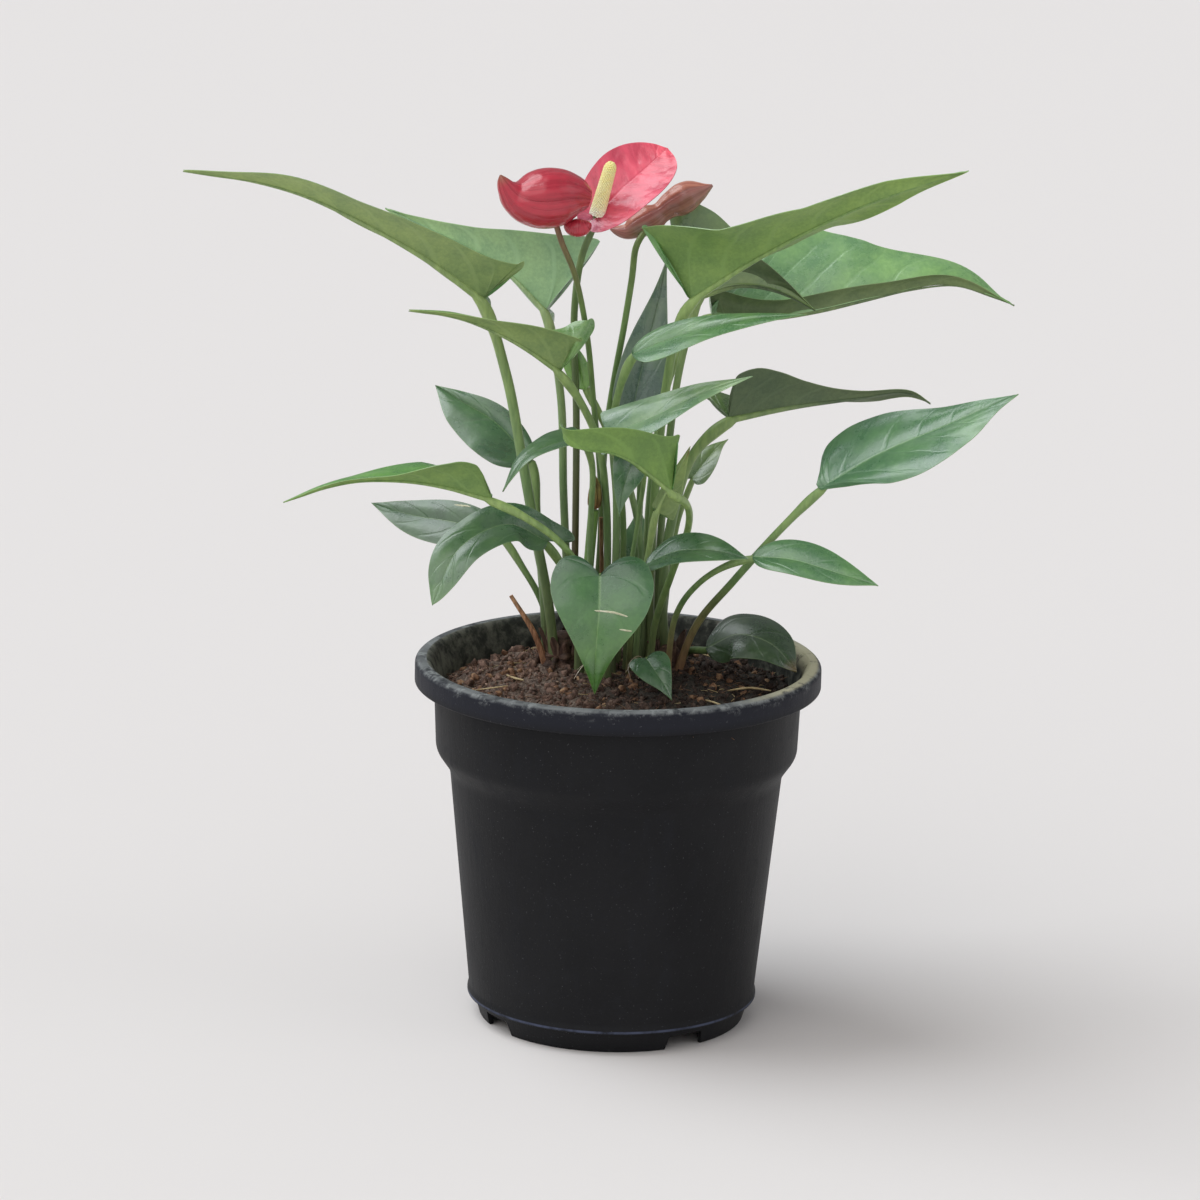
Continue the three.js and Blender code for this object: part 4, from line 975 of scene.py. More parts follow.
leaves = [
    {"name": "leaf_01_long_left", "skin": "fresh", "stalk": 2, "foot": (-24, 15),
     "route": [(-28, 12, 164), (-33, 9, 190), (-39, 7, 222), (-46, 3, 258)],
     "midrib": [(-55, -2, 289), (-82, -10, 309), (-130, -24, 334), (-169, -34, 342)],
     "outline": ("lance", "trail"), "half": (9, 23), "lobe": (7, 3),
     "fold": ((-10, -20, -10), (62, 36, 40))},
    {"name": "leaf_02_back_left", "skin": "hazy", "stalk": 1.6, "foot": (-19, 32),
     "route": [(-21, 30, 170), (-23, 29, 205), (-25, 31, 245)],
     "midrib": [(-31, 34, 277), (-50, 44, 293), (-78, 56, 305), (-96, 62, 312)],
     "face": (-0.1, 0.85, 0.5), "outline": ("arrow", "fan"), "half": (20, 38), "lobe": (0, 1),
     "fold": ((50, 40), (10, 5, 5))},
    {"name": "leaf_03_middle_left", "skin": "fresh", "stalk": 1.5, "foot": (-6, 13),
     "route": [(-5, 13, 170), (-6, 12, 205), (-10, 6, 232), (-19, -2, 252)],
     "midrib": [(-25, -6, 262), (-43, -14, 275), (-64, -22, 285), (-83, -30, 289)],
     "outline": ("tab", "lance"), "half": (24, 17), "lobe": (4, -2), "sweep": (0, 3),
     # Leaf 3's upper colour is lighter and yellower than the fresh skin's. This is partly painted light on
     # the tab's lit upper side.
     "fold": ((84, 14, 10, 8), (58, 35, 25)), "upper": (0.2, 0.37, 0.12)},
    {"name": "leaf_04_inner_left", "skin": "bright", "slot": "leaf_olive", "stalk": 1.3, "foot": (-1, 22),
     "route": [(1, 20, 170), (0, 19, 205), (-6, 19, 232)],
     "midrib": [(-15, 18, 249.5), (-18, 19, 257), (-22, 20, 265), (-25, 22, 272)],
     "face": (-0.2, -0.9, 0.4), "outline": "oval", "half": (4.5, 5), "fold": 10,
     # Leaf 4's upper colour is raised so that it stays bright in the shade of leaf 3's flap. This is painted
     # light.
     "upper": (0.24, 0.46, 0.12)},
    {"name": "leaf_05_dark_left", "skin": "deep", "stalk": 1.7, "foot": (-28, 22),
     "route": [(-30, 22, 163), (-33, 23, 192)],
     "midrib": [(-36, 26, 218), (-50, 36, 231), (-64, 43, 238), (-75, 50, 243)],
     "face": (0.1, -0.9, 0.45), "outline": "oval", "half": (7, 16), "lobe": (0, 1), "fold": (8, (14, 12))},
    {"name": "leaf_06_narrow_left", "skin": "deep", "stalk": 1.2, "foot": (-12, 7),
     "route": [(-12, 5, 165), (-12, 0, 200), (-12, -9, 226)],
     "midrib": [(-16, -16, 237), (-27, -22, 236), (-38, -27, 231), (-46, -31, 219)],
     "half": 10, "fold": ((15, 10), 5)},
    {"name": "leaf_07_bright_front", "skin": "bright", "stalk": 1.4, "foot": (12, 8),
     "route": [(14, 4, 158), (20, -5, 181), (26, -13, 202), (25, -25, 214)],
     "midrib": [(19, -36, 222), (-1, -46, 238), (-20, -46, 241), (-24, -32, 246)],
     "face": (0, 0.1, 1), "outline": ("arrow", "flag"), "half": (14, 19), "lobe": (6, -2), "sweep": (0, 10),
     "fold": (10, (86, 66, 75)), "under": (0.165, 0.29, 0.075)},
    {"name": "leaf_08_pale_centre", "skin": "hazy", "stalk": 1.3, "foot": (9, 17),
     "route": [(9, 14, 165), (7, 10, 195), (1, 2, 220)],
     "midrib": [(-6, -8, 237), (12, -13, 246), (31, -18, 257), (49, -24, 265)],
     "face": (-0.3, -0.5, 0.8), "half": 12, "fold": ((10, 5), (10, 5))},
    {"name": "leaf_09_upright", "skin": "blue", "stalk": 1.4, "foot": (4, 29),
     "route": [(6, 25, 165), (7, 22, 195), (7, 20, 222)],
     "midrib": [(4, 24, 243), (8, 28, 262), (13, 32, 284), (16, 34, 300)],
     "face": (0.1, -0.95, 0.2), "outline": "heart", "half": 10, "lobe": 3, "fold": ((18, 14), (18, 14)),
     # Leaf 9's upper colour is lighter and greyer than the blue skin's. It is partly the leaf's own tone and
     # partly a painted silvery sheen.
     "upper": (0.12, 0.19, 0.15)},
    {"name": "leaf_10_glossy_centre", "skin": "lush", "stalk": 1.5, "foot": (-3, 6),
     "route": [(-2, 6, 172), (-2, 6, 207), (-4, 6, 240)],
     "midrib": [(3, -6, 269), (25, -12, 279), (48, -18, 286), (69, -22, 289)],
     "face": (-0.15, -0.45, 0.85), "outline": "wedge", "half": (12, 8),
     "fold": ((10, 5), (14, 10)), "upper": (0.14, 0.3, 0.13)},
    {"name": "leaf_11_big_right", "skin": "bright", "stalk": 1.8, "foot": (13, 18),
     "route": [(12, 16, 168), (13, 12, 210), (16, 8, 250), (21, 2, 280)],
     "midrib": [(25, 0, 290), (51, -8, 309), (89, -18, 331), (129, -26, 347)],
     "outline": "lance", "half": 34, "lobe": (-3, 4),
     "fold": ((80, 40, 33, 54, 50), (0, -4, -15, -45, -45))},
    {"name": "leaf_12_olive_back", "skin": "olive", "stalk": 1.5, "foot": (15, 25),
     "route": [(15, 22, 170), (17, 22, 212), (21, 27, 252), (26, 34, 274)],
     "midrib": [(29, 38, 284), (45, 40, 288), (61, 42, 285), (75, 42, 278)],
     "outline": ("lance", "dome"), "half": (23, 40), "lobe": (3, 4),
     "fold": ((82, 60), (78, 70))},
    {"name": "leaf_13_big_back_right", "skin": "fresh", "stalk": 1.5, "foot": (9, 36),
     "route": [(10, 35, 172), (12, 36, 212), (18, 40, 250), (28, 47, 270)],
     "midrib": [(34, 50, 274), (62, 54, 273), (101, 58, 281), (128, 61, 286), (155, 62, 278)],
     "outline": ("trail", "peak"), "half": (12, 41),
     "fold": ((84, 80, 70), (48, 44, 28)), "upper": (0.185, 0.36, 0.15), "under": (0.14, 0.2, 0.09)},
    {"name": "leaf_14_hooked_right", "skin": "olive", "stalk": 2, "foot": (21, 19),
     "route": [(17, 13, 165), (20, 10, 200), (28, 8, 227)],
     "midrib": [(41, 6, 242), (66, 12, 246), (92, 20, 248), (112, 27, 249), (121, 30, 244)],
     "outline": ("hump", "trail"), "half": (19, 16), "lobe": (2, 7),
     "fold": ((78, 72, 60, 40), (32, 0, -15, -40, -40))},
    {"name": "leaf_15_glossy_right", "skin": "lush", "stalk": 1.5, "foot": (21, 12),
     "route": [(30, 3, 158), (44, -10, 180), (63, -19, 205)],
     "midrib": [(76, -24, 221), (98, -29, 236), (124, -36, 250), (150, -42, 264)],
     "face": (-0.35, -0.6, 0.7), "outline": ("late", "wedge"), "half": (19, 22), "lobe": 0,
     # Leaf 15's upper colour is bluer than the lush skin's. This is a painted bluish sheen.
     "fold": ((8, 5), (-6, -4)), "upper": (0.1, 0.235, 0.115), "footTint": (0.32, 0.13, 0.09)},
    {"name": "leaf_16_low_right", "skin": "lush", "stalk": 1.2, "foot": (19, 4),
     "route": [(22, -8, 165), (31, -20, 182), (42, -27, 191)],
     "midrib": [(51, -30, 195), (66, -34, 195), (82, -40, 192), (99, -44, 188)],
     "face": (0, -0.55, 0.8), "outline": "oval", "half": (8, 10), "lobe": 0, "fold": 5,
     "upper": (0.12, 0.26, 0.115), "footTint": (0.32, 0.13, 0.09)},
    {"name": "leaf_17_low_centre", "skin": "deep", "stalk": 1.1, "foot": (4, 7),
     "route": [(5, -8, 163), (8, -17, 181)],
     "midrib": [(10, -22, 189), (22, -28, 196), (36, -34, 198), (49, -38, 196)],
     "face": (0, -0.4, 0.9), "outline": "oval", "half": 10, "lobe": (1, 2), "fold": (5, (10, 5)),
     "footTint": (0.16, 0.07, 0.045)},
    {"name": "leaf_18_front_heart", "skin": "deep", "stalk": 1.3, "foot": (-4, -2),
     "route": [(-5, -12, 160), (-7, -25, 181)],
     "midrib": [(-8, -34, 187), (-8, -41, 176), (-9, -45, 158), (-9, -46, 143)],
     "face": (0, -0.95, 0.3), "outline": "cordate", "half": (19, 21), "lobe": 8, "fold": 6,
     "shade": [(0.46, 0.54, 0.68), (1.05, 1.2, 0.95), (1.8, 1.8, 0.8)],
     "scars": [[(-9.2, -44, 176.2), (-3, -44, 175.5), (3.6, -44, 173.6)],
               [(-0.5, -44, 168.8), (4.9, -44, 168.1)]]},
    {"name": "leaf_19_drooping_left", "skin": "deep", "stalk": 1.5, "foot": (-15, 9),
     "route": [(-17, 3, 160), (-22, -10, 183)],
     "midrib": [(-29, -19, 197), (-44, -27, 205), (-62, -38, 198), (-72, -49, 178)],
     "face": (-0.3, -0.6, 0.75), "outline": ("ear", "broad"), "half": (10, 10.5), "lobe": (12, 0),
     "fold": ((35, 5, 5), (5, 0)), "upper": (0.08, 0.168, 0.08)},
    {"name": "leaf_20_low_back_left", "skin": "deep", "stalk": 1.3, "foot": (-27, 31),
     "route": [(-30, 28, 158), (-39, 28, 175)],
     "midrib": [(-48, 30, 187), (-65, 37, 190), (-84, 45, 191), (-100, 52, 194)],
     "face": (0, -0.8, 0.6), "outline": "oval", "half": (9, 11), "fold": 5,
     "shade": [(0.42, 0.58, 0.4), (0.42, 0.58, 0.4), (0.52, 0.68, 0.46)],
     "scars": [[(-65.1, 46, 192), (-58.3, 46, 190.1)]]},
    {"name": "leaf_21_bright_low_left", "skin": "bright", "stalk": 1.4, "foot": (-9, 1),
     "route": [(-11, -12, 172), (-22, -28, 197), (-38, -37, 211)],
     "midrib": [(-50, -38, 218), (-75, -44, 225), (-104, -50, 226), (-129, -56, 219)],
     "outline": ("wedge", "hump"), "half": (14, 17), "lobe": 0, "sweep": (0, 9),
     "fold": ((10, 25, 8, 5), (55, 32, 30))},
    {"name": "leaf_22_on_peat_right", "skin": "dark", "stalk": 1.2, "foot": (23, 25),
     "route": [(27, 20, 143)],
     "midrib": [(35, 9, 148), (47, 4, 155), (60, -3, 153), (70, -10, 144)],
     "face": (0.1, -0.5, 0.8), "outline": "oval", "half": (13, 14), "lobe": (2, 4), "fold": -5,
     "upper": (0.035, 0.07, 0.033), "tipTint": (0.2, 0.13, 0.06)},
    {"name": "leaf_23_small_front", "skin": "deep", "stalk": 1, "foot": (13, -3),
     "route": [(12, -12, 147)],
     "midrib": [(11, -22, 151), (14, -27, 148), (18, -31, 143), (21, -34, 138)],
     "face": (0.2, -0.8, 0.5), "outline": "heart", "half": 8, "fold": 5},
    {"name": "leaf_24_inner_back", "skin": "deep", "stalk": 1, "foot": (3, 37),
     "route": [(4, 38, 155)],
     "midrib": [(6, 40, 169), (6, 44, 179), (7, 48, 188), (7, 52, 196)],
     "face": (0, -0.9, 0.3), "outline": "heart", "half": 9, "lobe": 3, "fold": 10},
    {"name": "leaf_25_hanging", "skin": "deep", "stalk": 1, "foot": (3, 12),
     "route": [(3, 6, 170), (7, 0, 205), (8, -8, 225)],
     "midrib": [(4, -13, 231), (2, -18, 224), (0, -21, 217), (-1, -22, 208)],
     "face": (0, -0.9, 0.2), "outline": "heart", "half": 7, "fold": 10},
    {"name": "leaf_26_small_back_right", "skin": "olive", "stalk": 1, "foot": (17, 34),
     "route": [(19, 33, 165), (23, 33, 195)],
     "midrib": [(28, 34, 211), (33, 38, 217), (38, 43, 222), (42, 48, 224)],
     "face": (-0.2, -0.5, 0.8), "outline": "heart", "half": 7, "fold": 10},
    {"name": "leaf_27_young", "skin": "fresh", "stalk": 1.2, "foot": (6, 2),
     "route": [(8, -2, 168), (11, -9, 192)],
     "midrib": [(14, -14, 208), (18, -16, 218), (22, -18, 227), (26, -20, 236)],
     "face": (0.6, 0.6, 0.4), "half": 7, "lobe": 1, "fold": 40, "tipTint": (0.2, 0.1, 0.05)},
]
blooms = [                                       # a furl's rows are x, y, z and the roll's radius there
    {"name": "bloom_1", "colour": "deepRed", "slot": "spathe_deep_red", "stalkColour": "redNeck",
     "stalkSlot": "leaf_olive", "stalk": 1.15, "foot": (-12, 22), "base": (-27, -4, 317),
     "route": [(-8, 20, 200), (-12, 14, 247), (-15, 8, 274), (-20, 2, 298)],
     "half": 27, "baseReach": 0.5, "wave": 0, "quilt": 0.08, "camber": 0, "shade": ((1, 1, 1),) * 3,
     "spadix": {"lean": (-0.3, -0.1, 1), "length": 13, "foot": 2, "top": 1.5, "rise": 7.5},
     "furl": [
         (-14.3, -7, 329.6, 0.2), (-15.2, -7, 329.8, 2.6), (-16.8, -7.5, 330.2, 4.5),
         (-19.6, -8, 330.8, 6.8), (-24.5, -9, 331, 9.3), (-30.1, -10.5, 330.6, 10.4),
         (-35.6, -12, 330.2, 9.9), (-40.4, -14, 330.6, 7.9), (-43.8, -15.5, 332, 5.4),
         (-46.2, -17, 334.5, 3.3), (-47.9, -18, 337.4, 1.9), (-49, -18.5, 340, 0.2),
     ],
     "flap": [(-24.5, -8, 320), (-21, -8, 318.6), (-17.5, -8, 318.6), (-14, -8, 320)]},
    {"name": "bloom_2", "colour": "brightRed", "slot": "spathe_bright_red", "stalkColour": "redFoot",
     "stalkSlot": "stalk_red_brown", "stalk": 1.4, "foot": (-18, 21), "base": (-12, 6, 321),
     "route": [(-18, 19, 200), (-18.5, 18, 240), (-20, 15, 281), (-17.5, 9, 304)],
     "midrib": [(-3, 10, 330), (8, 17, 339), (15, 22, 345)], "face": (-0.3, -0.75, 0.6), "outline": "cup",
     "half": (16.5, 15.3), "lobe": 6.5, "fold": 2, "curl": (14, 15), "baseReach": 0.55,
     "paleAt": (-17, 3, 316), "wave": 0, "quilt": 0.1, "camber": 0,
     "spadix": {"lean": (0.25, -0.15, 1), "length": 22, "foot": 2.9, "top": 2.2, "rise": 0.2}},
    {"name": "bloom_3", "colour": "fadedRed", "slot": "spathe_faded_red", "stalkColour": "olive",
     "stalkSlot": "leaf_olive", "stalk": 1.3, "foot": (-8, 31), "base": (6, 26, 310),
     "route": [(-8, 30, 180), (-7, 31, 225), (-4, 32, 250), (-0.5, 31, 272), (2.2, 28.5, 292)],
     "half": 12, "baseReach": 0.6, "wave": 0.5, "quilt": 0.25,
     "spadix": {"lean": (0.54, 0.56, 0.63), "length": 8, "foot": 1.4, "top": 1, "rise": 7},
     "furl": [
         (-6.4, 31, 311.3, 0.2), (-3.6, 31, 310.7, 1.5), (-0.1, 31, 310.6, 2.6), (4.1, 31, 313.1, 4.4),
         (8.8, 32, 315.5, 5.2), (12.7, 33, 317.9, 3.6), (16.5, 34, 320.8, 4.4), (20.4, 34, 323, 5.4),
         (24.2, 35, 325, 5), (28.1, 35, 326.6, 3.1), (30.4, 35, 327.6, 1.5), (32.6, 35, 328.6, 0.2),
     ]},
]


# Blooms. A spathe is a blade with an outline of its own, or a sheet still rolled round itself. Its spadix
# is a rod set with florets in a spiral.
spatheSkins = {
    "deepRed": {"upper": (0.5, 0.03, 0.055), "under": (0.5, 0.03, 0.055), "baseTint": (0.3, 0.03, 0.04),
                "tipTint": (0.3, 0.13, 0.07)},
    "brightRed": {"upper": (0.73, 0.095, 0.16), "under": (0.55, 0.06, 0.1), "baseTint": (0.6, 0.36, 0.46)},
    "fadedRed": {"upper": (0.48, 0.2, 0.16), "under": (0.48, 0.2, 0.16), "baseTint": (0.17, 0.18, 0.08)},
}
bloomStalks = {
    "olive": ((0.1, 0.12, 0.05), (0.13, 0.23, 0.07), (0.16, 0.27, 0.085), (0.2, 0.27, 0.09)),
    "redNeck": ((0.1, 0.12, 0.05), (0.13, 0.22, 0.065), (0.15, 0.24, 0.07), (0.24, 0.11, 0.07)),
    "redFoot": ((0.12, 0.035, 0.03), (0.1, 0.13, 0.05), (0.14, 0.22, 0.075), (0.16, 0.22, 0.09)),
}
plainSpathe = {**plainBlade, "veins": 6, "thickness": 0.8}
spatheSettings = {"flapRadius": 3.6, "flapEnd": 0.4, "flapSteps": 24, "tipReach": 5, "basePower": 1.5}
bloomStalkSettings = {"steps": 90, "sides": 12, "sheath": 0.3, "lead": 6, "lean": 0.6, "inside": 4.4}
spadixSettings = {"floret": 0.52, "blunt": 0.86, "golden": 2.39996, "spread": 2.6, "rings": 28, "sides": 20,
                  "tints": ((1.06, 1.12, 1.7), (1, 1, 1), (0.98, 0.95, 0.75))}


def spatheSkin(graph):
    lateral, midrib = veinMasks(graph, 0.07)
    tint = graph.attribute("tint", "Color")
    place = graph.node("ShaderNodeUVMap", {"uv_map": "skin"})
    drawn = graph.node("ShaderNodeMapping", {}, {"Vector": place, "Scale": (2.2, 0.9, 1)})
    streaks = graph.noise(1, 4, 0.6, drawn)
    colour = graph.tinted(tint, graph.mix(streaks.step(0.32, 0.7), (0.8, 0.72, 0.76), (1.14, 1.14, 1.12)))
    colour = graph.mix(lateral * 0.1, colour, graph.tinted(tint, (0.66, 0.5, 0.55)))
    margin = 1 - graph.attribute("edge").step(0.2, 0.7)
    colour = graph.mix(margin * 0.3, colour, graph.tinted(tint, (0.06, 0.04, 0.04), "ADD"))
    net = graph.cells(3.4, "SMOOTH_F1")
    height = 0.5 * net + 0.2 * streaks - 0.05 * lateral - 0.1 * midrib + 0.2 * graph.noise(5, 3)
    return colour, 0.2 + streaks * 0.16, height, {"Coat Weight": 0.3, "Coat Roughness": 0.14}


def floretSkin(graph):
    tint = graph.attribute("tint", "Color")
    patches = graph.noise(2.4, 3)
    colour = graph.mix(patches.step(0.2, 0.8), (1, 0.94, 0.46), (1, 0.98, 0.6))
    return graph.tinted(colour, tint), 0.5, 0.05 * graph.noise(0.35, 2), {}


def floretTree():
    tree, graph, entry = newTree("florets", {
        "Count": ("Int", 300), "Length": ("Float", 0.02), "Foot": ("Float", 0.0028),
        "Top": ("Float", 0.002), "Floret": ("Float", 0.0005), "Blunt": ("Float", 0.86),
        "Material": ("Material", None)})
    index = graph.node("GeometryNodeInputIndex")
    share = (index + 0.5) / entry["Count"]
    turn = index * spadixSettings["golden"]
    intoTip = ((share - entry["Blunt"]) / (1 - entry["Blunt"])).math("MAXIMUM", 0.0)
    blunt = (1 - intoTip * intoTip * 0.9) ** 0.5
    radius = (entry["Foot"] + (entry["Top"] - entry["Foot"]) * share) * blunt
    cosine = graph.node("ShaderNodeMath", {"operation": "COSINE"}, {0: turn})
    sine = graph.node("ShaderNodeMath", {"operation": "SINE"}, {0: turn})
    position = graph.vector(radius * cosine, radius * sine, share * entry["Length"])
    points = graph.node("GeometryNodePoints", {}, {"Count": entry["Count"], "Position": position})
    outward = graph.vector(cosine, sine, intoTip * 2.2 + 0.1)
    turned = graph.node("FunctionNodeAlignRotationToVector", {"axis": "Z"}, {"Vector": outward})
    bead = graph.node("GeometryNodeMeshIcoSphere", {}, {"Radius": entry["Floret"], "Subdivisions": 1})
    flat = graph.vector(1.0, 1.0, 0.62)
    placed = {"Points": points, "Instance": bead, "Rotation": turned, "Scale": flat}
    florets = graph.node("GeometryNodeInstanceOnPoints", {}, placed)
    joined = graph.node("GeometryNodeJoinGeometry", {}, {"Geometry": florets})
    graph.tree.links.new(entry["Geometry"].socket, joined.socket.node.inputs["Geometry"])
    endTree(graph, joined, entry["Material"])
    return tree


def addSpadix(bloom, base, lean, tree):
    size = bloom["spadix"]
    share = np.linspace(0, 1, spadixSettings["rings"])
    intoTip = np.maximum(0, (share - spadixSettings["blunt"]) / (1 - spadixSettings["blunt"]))
    radii = blend(size["foot"], size["top"], share) * np.sqrt(1 - 0.94 * intoTip ** 2)
    line = np.stack([0 * share - plantShift, 0 * share, share * size["length"]], -1)
    core = Form()
    core.tube(line, radii, spadixSettings["sides"])
    rod = core.build("spadix_rod", [materials["floret"]])
    area = 2 * math.pi * size["foot"] * size["length"]
    settings = {
        "Count": round(area / (spadixSettings["floret"] ** 2 * spadixSettings["spread"])),
        "Length": size["length"] * mm, "Foot": size["foot"] * mm, "Top": size["top"] * mm,
        "Floret": spadixSettings["floret"] * mm, "Blunt": spadixSettings["blunt"],
        "Material": materials["floret"],
    }
    piece = grow(bloom["name"] + "_spadix_beaded", rod, tree, settings, "spadix_yellow")
    bpy.data.objects.remove(rod)
    heights = np.array([vertex.co.z for vertex in piece.data.vertices])
    share = np.clip(heights / (size["length"] * mm), 0, 1)
    setTints(piece.data, tintedBy(share, spadixSettings["tints"], (0, 0.25, 1)))
    turn = Vector((0, 0, 1)).rotation_difference(Vector(lean)).to_matrix().to_4x4()
    seat = toRow(base + lean * size["rise"])
    piece.data.transform(Matrix.Translation(Vector(seat)) @ turn)
    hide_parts(bloom["name"] + "_spadix")


def addBloomStalk(bloom, base, lean):
    settings = bloomStalkSettings
    top = base + lean * settings["inside"]
    last = unit(base - np.array(bloom["route"][-1], float))
    lead = last * (1 - settings["lean"]) + lean * settings["lean"]
    route = Route([rootOf(bloom["foot"]), *bloom["route"], base - lead * settings["lead"], base, top])
    share = np.linspace(0, 1, settings["steps"])
    radii = bloom["stalk"] * (1 + settings["sheath"] * sheathAt(share * route.length))
    tints = tintedBy(share, bloomStalks[bloom["stalkColour"]], (0, 0.5, 0.8, 1))
    form = Form()
    form.tube(route.at(share), radii, settings["sides"], 0, tints)
    piece = form.build(bloom["name"] + "_stalk_grown", [materials["stalk"]])
    settle(piece, bloom["stalkSlot"], bloom["name"] + "_stalk")


def addBloom(bloom, tree):
    bloom = {**plainSpathe, **spatheSkins[bloom["colour"]], **bloom}
    base = np.array(bloom["base"], float)
    lean = unit(np.array(bloom["spadix"]["lean"], float))
    if "midrib" in bloom:
        bloom["rib"] = Route([base, *bloom["midrib"]])
    spathe = Form()
    addBlade(spathe, bloom)
    if "flap" in bloom:
        share = np.linspace(0, 1, spatheSettings["flapSteps"])
        end = spatheSettings["flapEnd"]
        radii = end + (spatheSettings["flapRadius"] - end) * np.sin(np.pi * share) ** 0.6
        spathe.tube(Route(bloom["flap"]).at(share), radii, 16, 0, bloom["upper"])
    reach, power = np.max(bloom["half"]) * bloom["baseReach"], spatheSettings["basePower"]
    tintAround(spathe, bloom.get("paleAt", base), reach, bloom["baseTint"], power=power)
    if "tipTint" in bloom:
        tintAround(spathe, bloom["furl"][-1][:3], spatheSettings["tipReach"], bloom["tipTint"])
    piece = spathe.build(bloom["name"] + "_spathe_grown", [materials["spathe"], materials["spathe"]])
    settle(piece, bloom["slot"], bloom["name"] + "_spathe")
    addBloomStalk(bloom, base, lean)
    addSpadix(bloom, base, lean, tree)


# The pot is one wall turned round its axis, with rounded edges, drain notches and drain holes.
pot = {"rimRadius": 80, "height": 145.3, "lip": 9.6, "rimThickness": 4, "rimWidth": 3.5, "edge": 1.5,
       "mouthRadius": 73.5, "wall": 2, "collarTop": 72.4, "collarFoot": (71.3, 109), "bodyTop": (65.7, 101),
       "bodyFoot": 56.9, "baseEdge": (57.5, 10.2), "baseThickness": 1.4, "footTop": (55, 8.4), "foot": 52.5,
       "footInnerTop": 52.4, "floorUnderside": 6, "notch": (17, 16), "notchLean": 0.14,
       "notchAngles": (-57, 33, 123, 213), "drainRadius": 4.5, "drainCircle": 34, "segments": 200}


def rounded(profile, steps=5):                   # each corner [radius, height, fillet] becomes an arc
    points = []
    for i, (radius, height, fillet) in enumerate(profile):
        corner = np.array([radius, height], float)
        if not fillet or i in (0, len(profile) - 1):
            points.append(corner)
            continue
        before, after = (np.array(profile[k][:2], float) - corner for k in (i - 1, i + 1))
        reach = min(fillet, np.linalg.norm(before) * 0.45, np.linalg.norm(after) * 0.45)
        start, end = corner + unit(before) * reach, corner + unit(after) * reach
        for share in np.linspace(0, 1, steps):
            points.append(start * (1 - share) ** 2 + corner * 2 * share * (1 - share) + end * share ** 2)
    return points


def closedFaces(ringCount, sides):               # a start point, an end point, then rings of points
    faces = []
    last = 2 + (ringCount - 1) * sides
    for k in range(sides):
        after = (k + 1) % sides
        faces.append([0, 2 + after, 2 + k])
        for low in range(2, last, sides):
            faces.append([low + k, low + after, low + sides + after, low + sides + k])
        faces.append([1, last + k, last + after])
    return faces


def cutWith(piece, cutter):
    modifier = piece.modifiers.new("cut", "BOOLEAN")
    modifier.operation = "DIFFERENCE"
    modifier.solver = "EXACT"
    modifier.object = cutter
    mesh = evaluatedMesh(piece)
    piece.modifiers.remove(modifier)
    piece.data = mesh
    bpy.data.objects.remove(cutter)


def addPot():
    wall, height = pot["wall"], pot["height"]
    rimFoot = height - pot["lip"]
    under = height - pot["rimThickness"]
    rim, edge = pot["rimRadius"], pot["edge"]
    floorTop = pot["floorUnderside"] + wall
    baseRadius, baseHeight = pot["baseEdge"]
    profile = [
        (0, pot["floorUnderside"], 0), (pot["footInnerTop"], pot["floorUnderside"], 0.6),
        (pot["foot"] - wall, 0, 0.4), (pot["foot"], 0, 0.7), (*pot["footTop"], 0.5),
        (baseRadius, baseHeight - pot["baseThickness"], 0.4), (baseRadius, baseHeight, 0.5),
        (pot["bodyFoot"], baseHeight + wall, 0.8), (*pot["bodyTop"], 2.6), (*pot["collarFoot"], 2.2),
        (pot["collarTop"], rimFoot, 1.5), (pot["collarTop"] + wall, under, 0.8), (rim - wall, under, 0.8),
        (rim - wall, rimFoot, 0.5), (rim - 0.5, rimFoot, 0.4), (rim, rimFoot + 0.5, 0.5),
        (rim, height - edge, 1.3), (rim - edge, height, 1.2), (rim - edge - pot["rimWidth"], height, 1.2),
        (pot["mouthRadius"], height - edge, 1), (pot["collarTop"] - wall, rimFoot, 2),
        (pot["collarFoot"][0] - wall, pot["collarFoot"][1], 2),
        (pot["bodyTop"][0] - wall, pot["bodyTop"][1], 2), (pot["bodyFoot"] - wall, baseHeight + wall, 1),
        (pot["footTop"][0] - wall, floorTop, 0.6), (0, floorTop, 0),
    ]
    outline = rounded(profile)
    segments = pot["segments"]
    turns = 2 * np.pi * np.arange(segments) / segments
    points = [[0, 0, outline[0][1]], [0, 0, outline[-1][1]]]
    for radius, level in outline[1:-1]:
        points += ringPoints(turns, radius, level)
    form = Form()
    form.add(np.array(points, float), closedFaces(len(outline) - 2, segments))
    piece = form.build("pot_moulded", [materials["pot"]])
    width, depth = pot["notch"]
    for angle in pot["notchAngles"]:
        turn = Matrix.Rotation(math.radians(angle), 4, "Z")
        for kind in ("notch", "drain"):
            shape = Form()
            if kind == "notch":
                side, reach = width / 2, depth / 2
                half = pot["floorUnderside"]
                corners = [(x * (1 - pot["notchLean"] * z / half), y, z) for x in (-side, side)
                           for y in (-pot["foot"] - reach, -pot["foot"] + reach) for z in (-half, half)]
                sides = [[0, 1, 3, 2], [4, 6, 7, 5], [0, 4, 5, 1], [2, 3, 7, 6], [0, 2, 6, 4], [1, 5, 7, 3]]
                shape.add(np.array(corners, float), sides)
            else:
                low, high = pot["floorUnderside"] - wall, floorTop + wall
                line = [(0, -pot["drainCircle"], low), (0, -pot["drainCircle"], high)]
                shape.tube(line, pot["drainRadius"], 28)
            turned = [turn @ Vector(point) for point in np.vstack(shape.points)]
            shape.points = [np.array(turned)]
            cutWith(piece, shape.build("cutter", []))
    piece.data.shade_smooth()
    piece.data.set_sharp_from_angle(angle=math.radians(38))
    settle(piece, "pot_black", "pot")


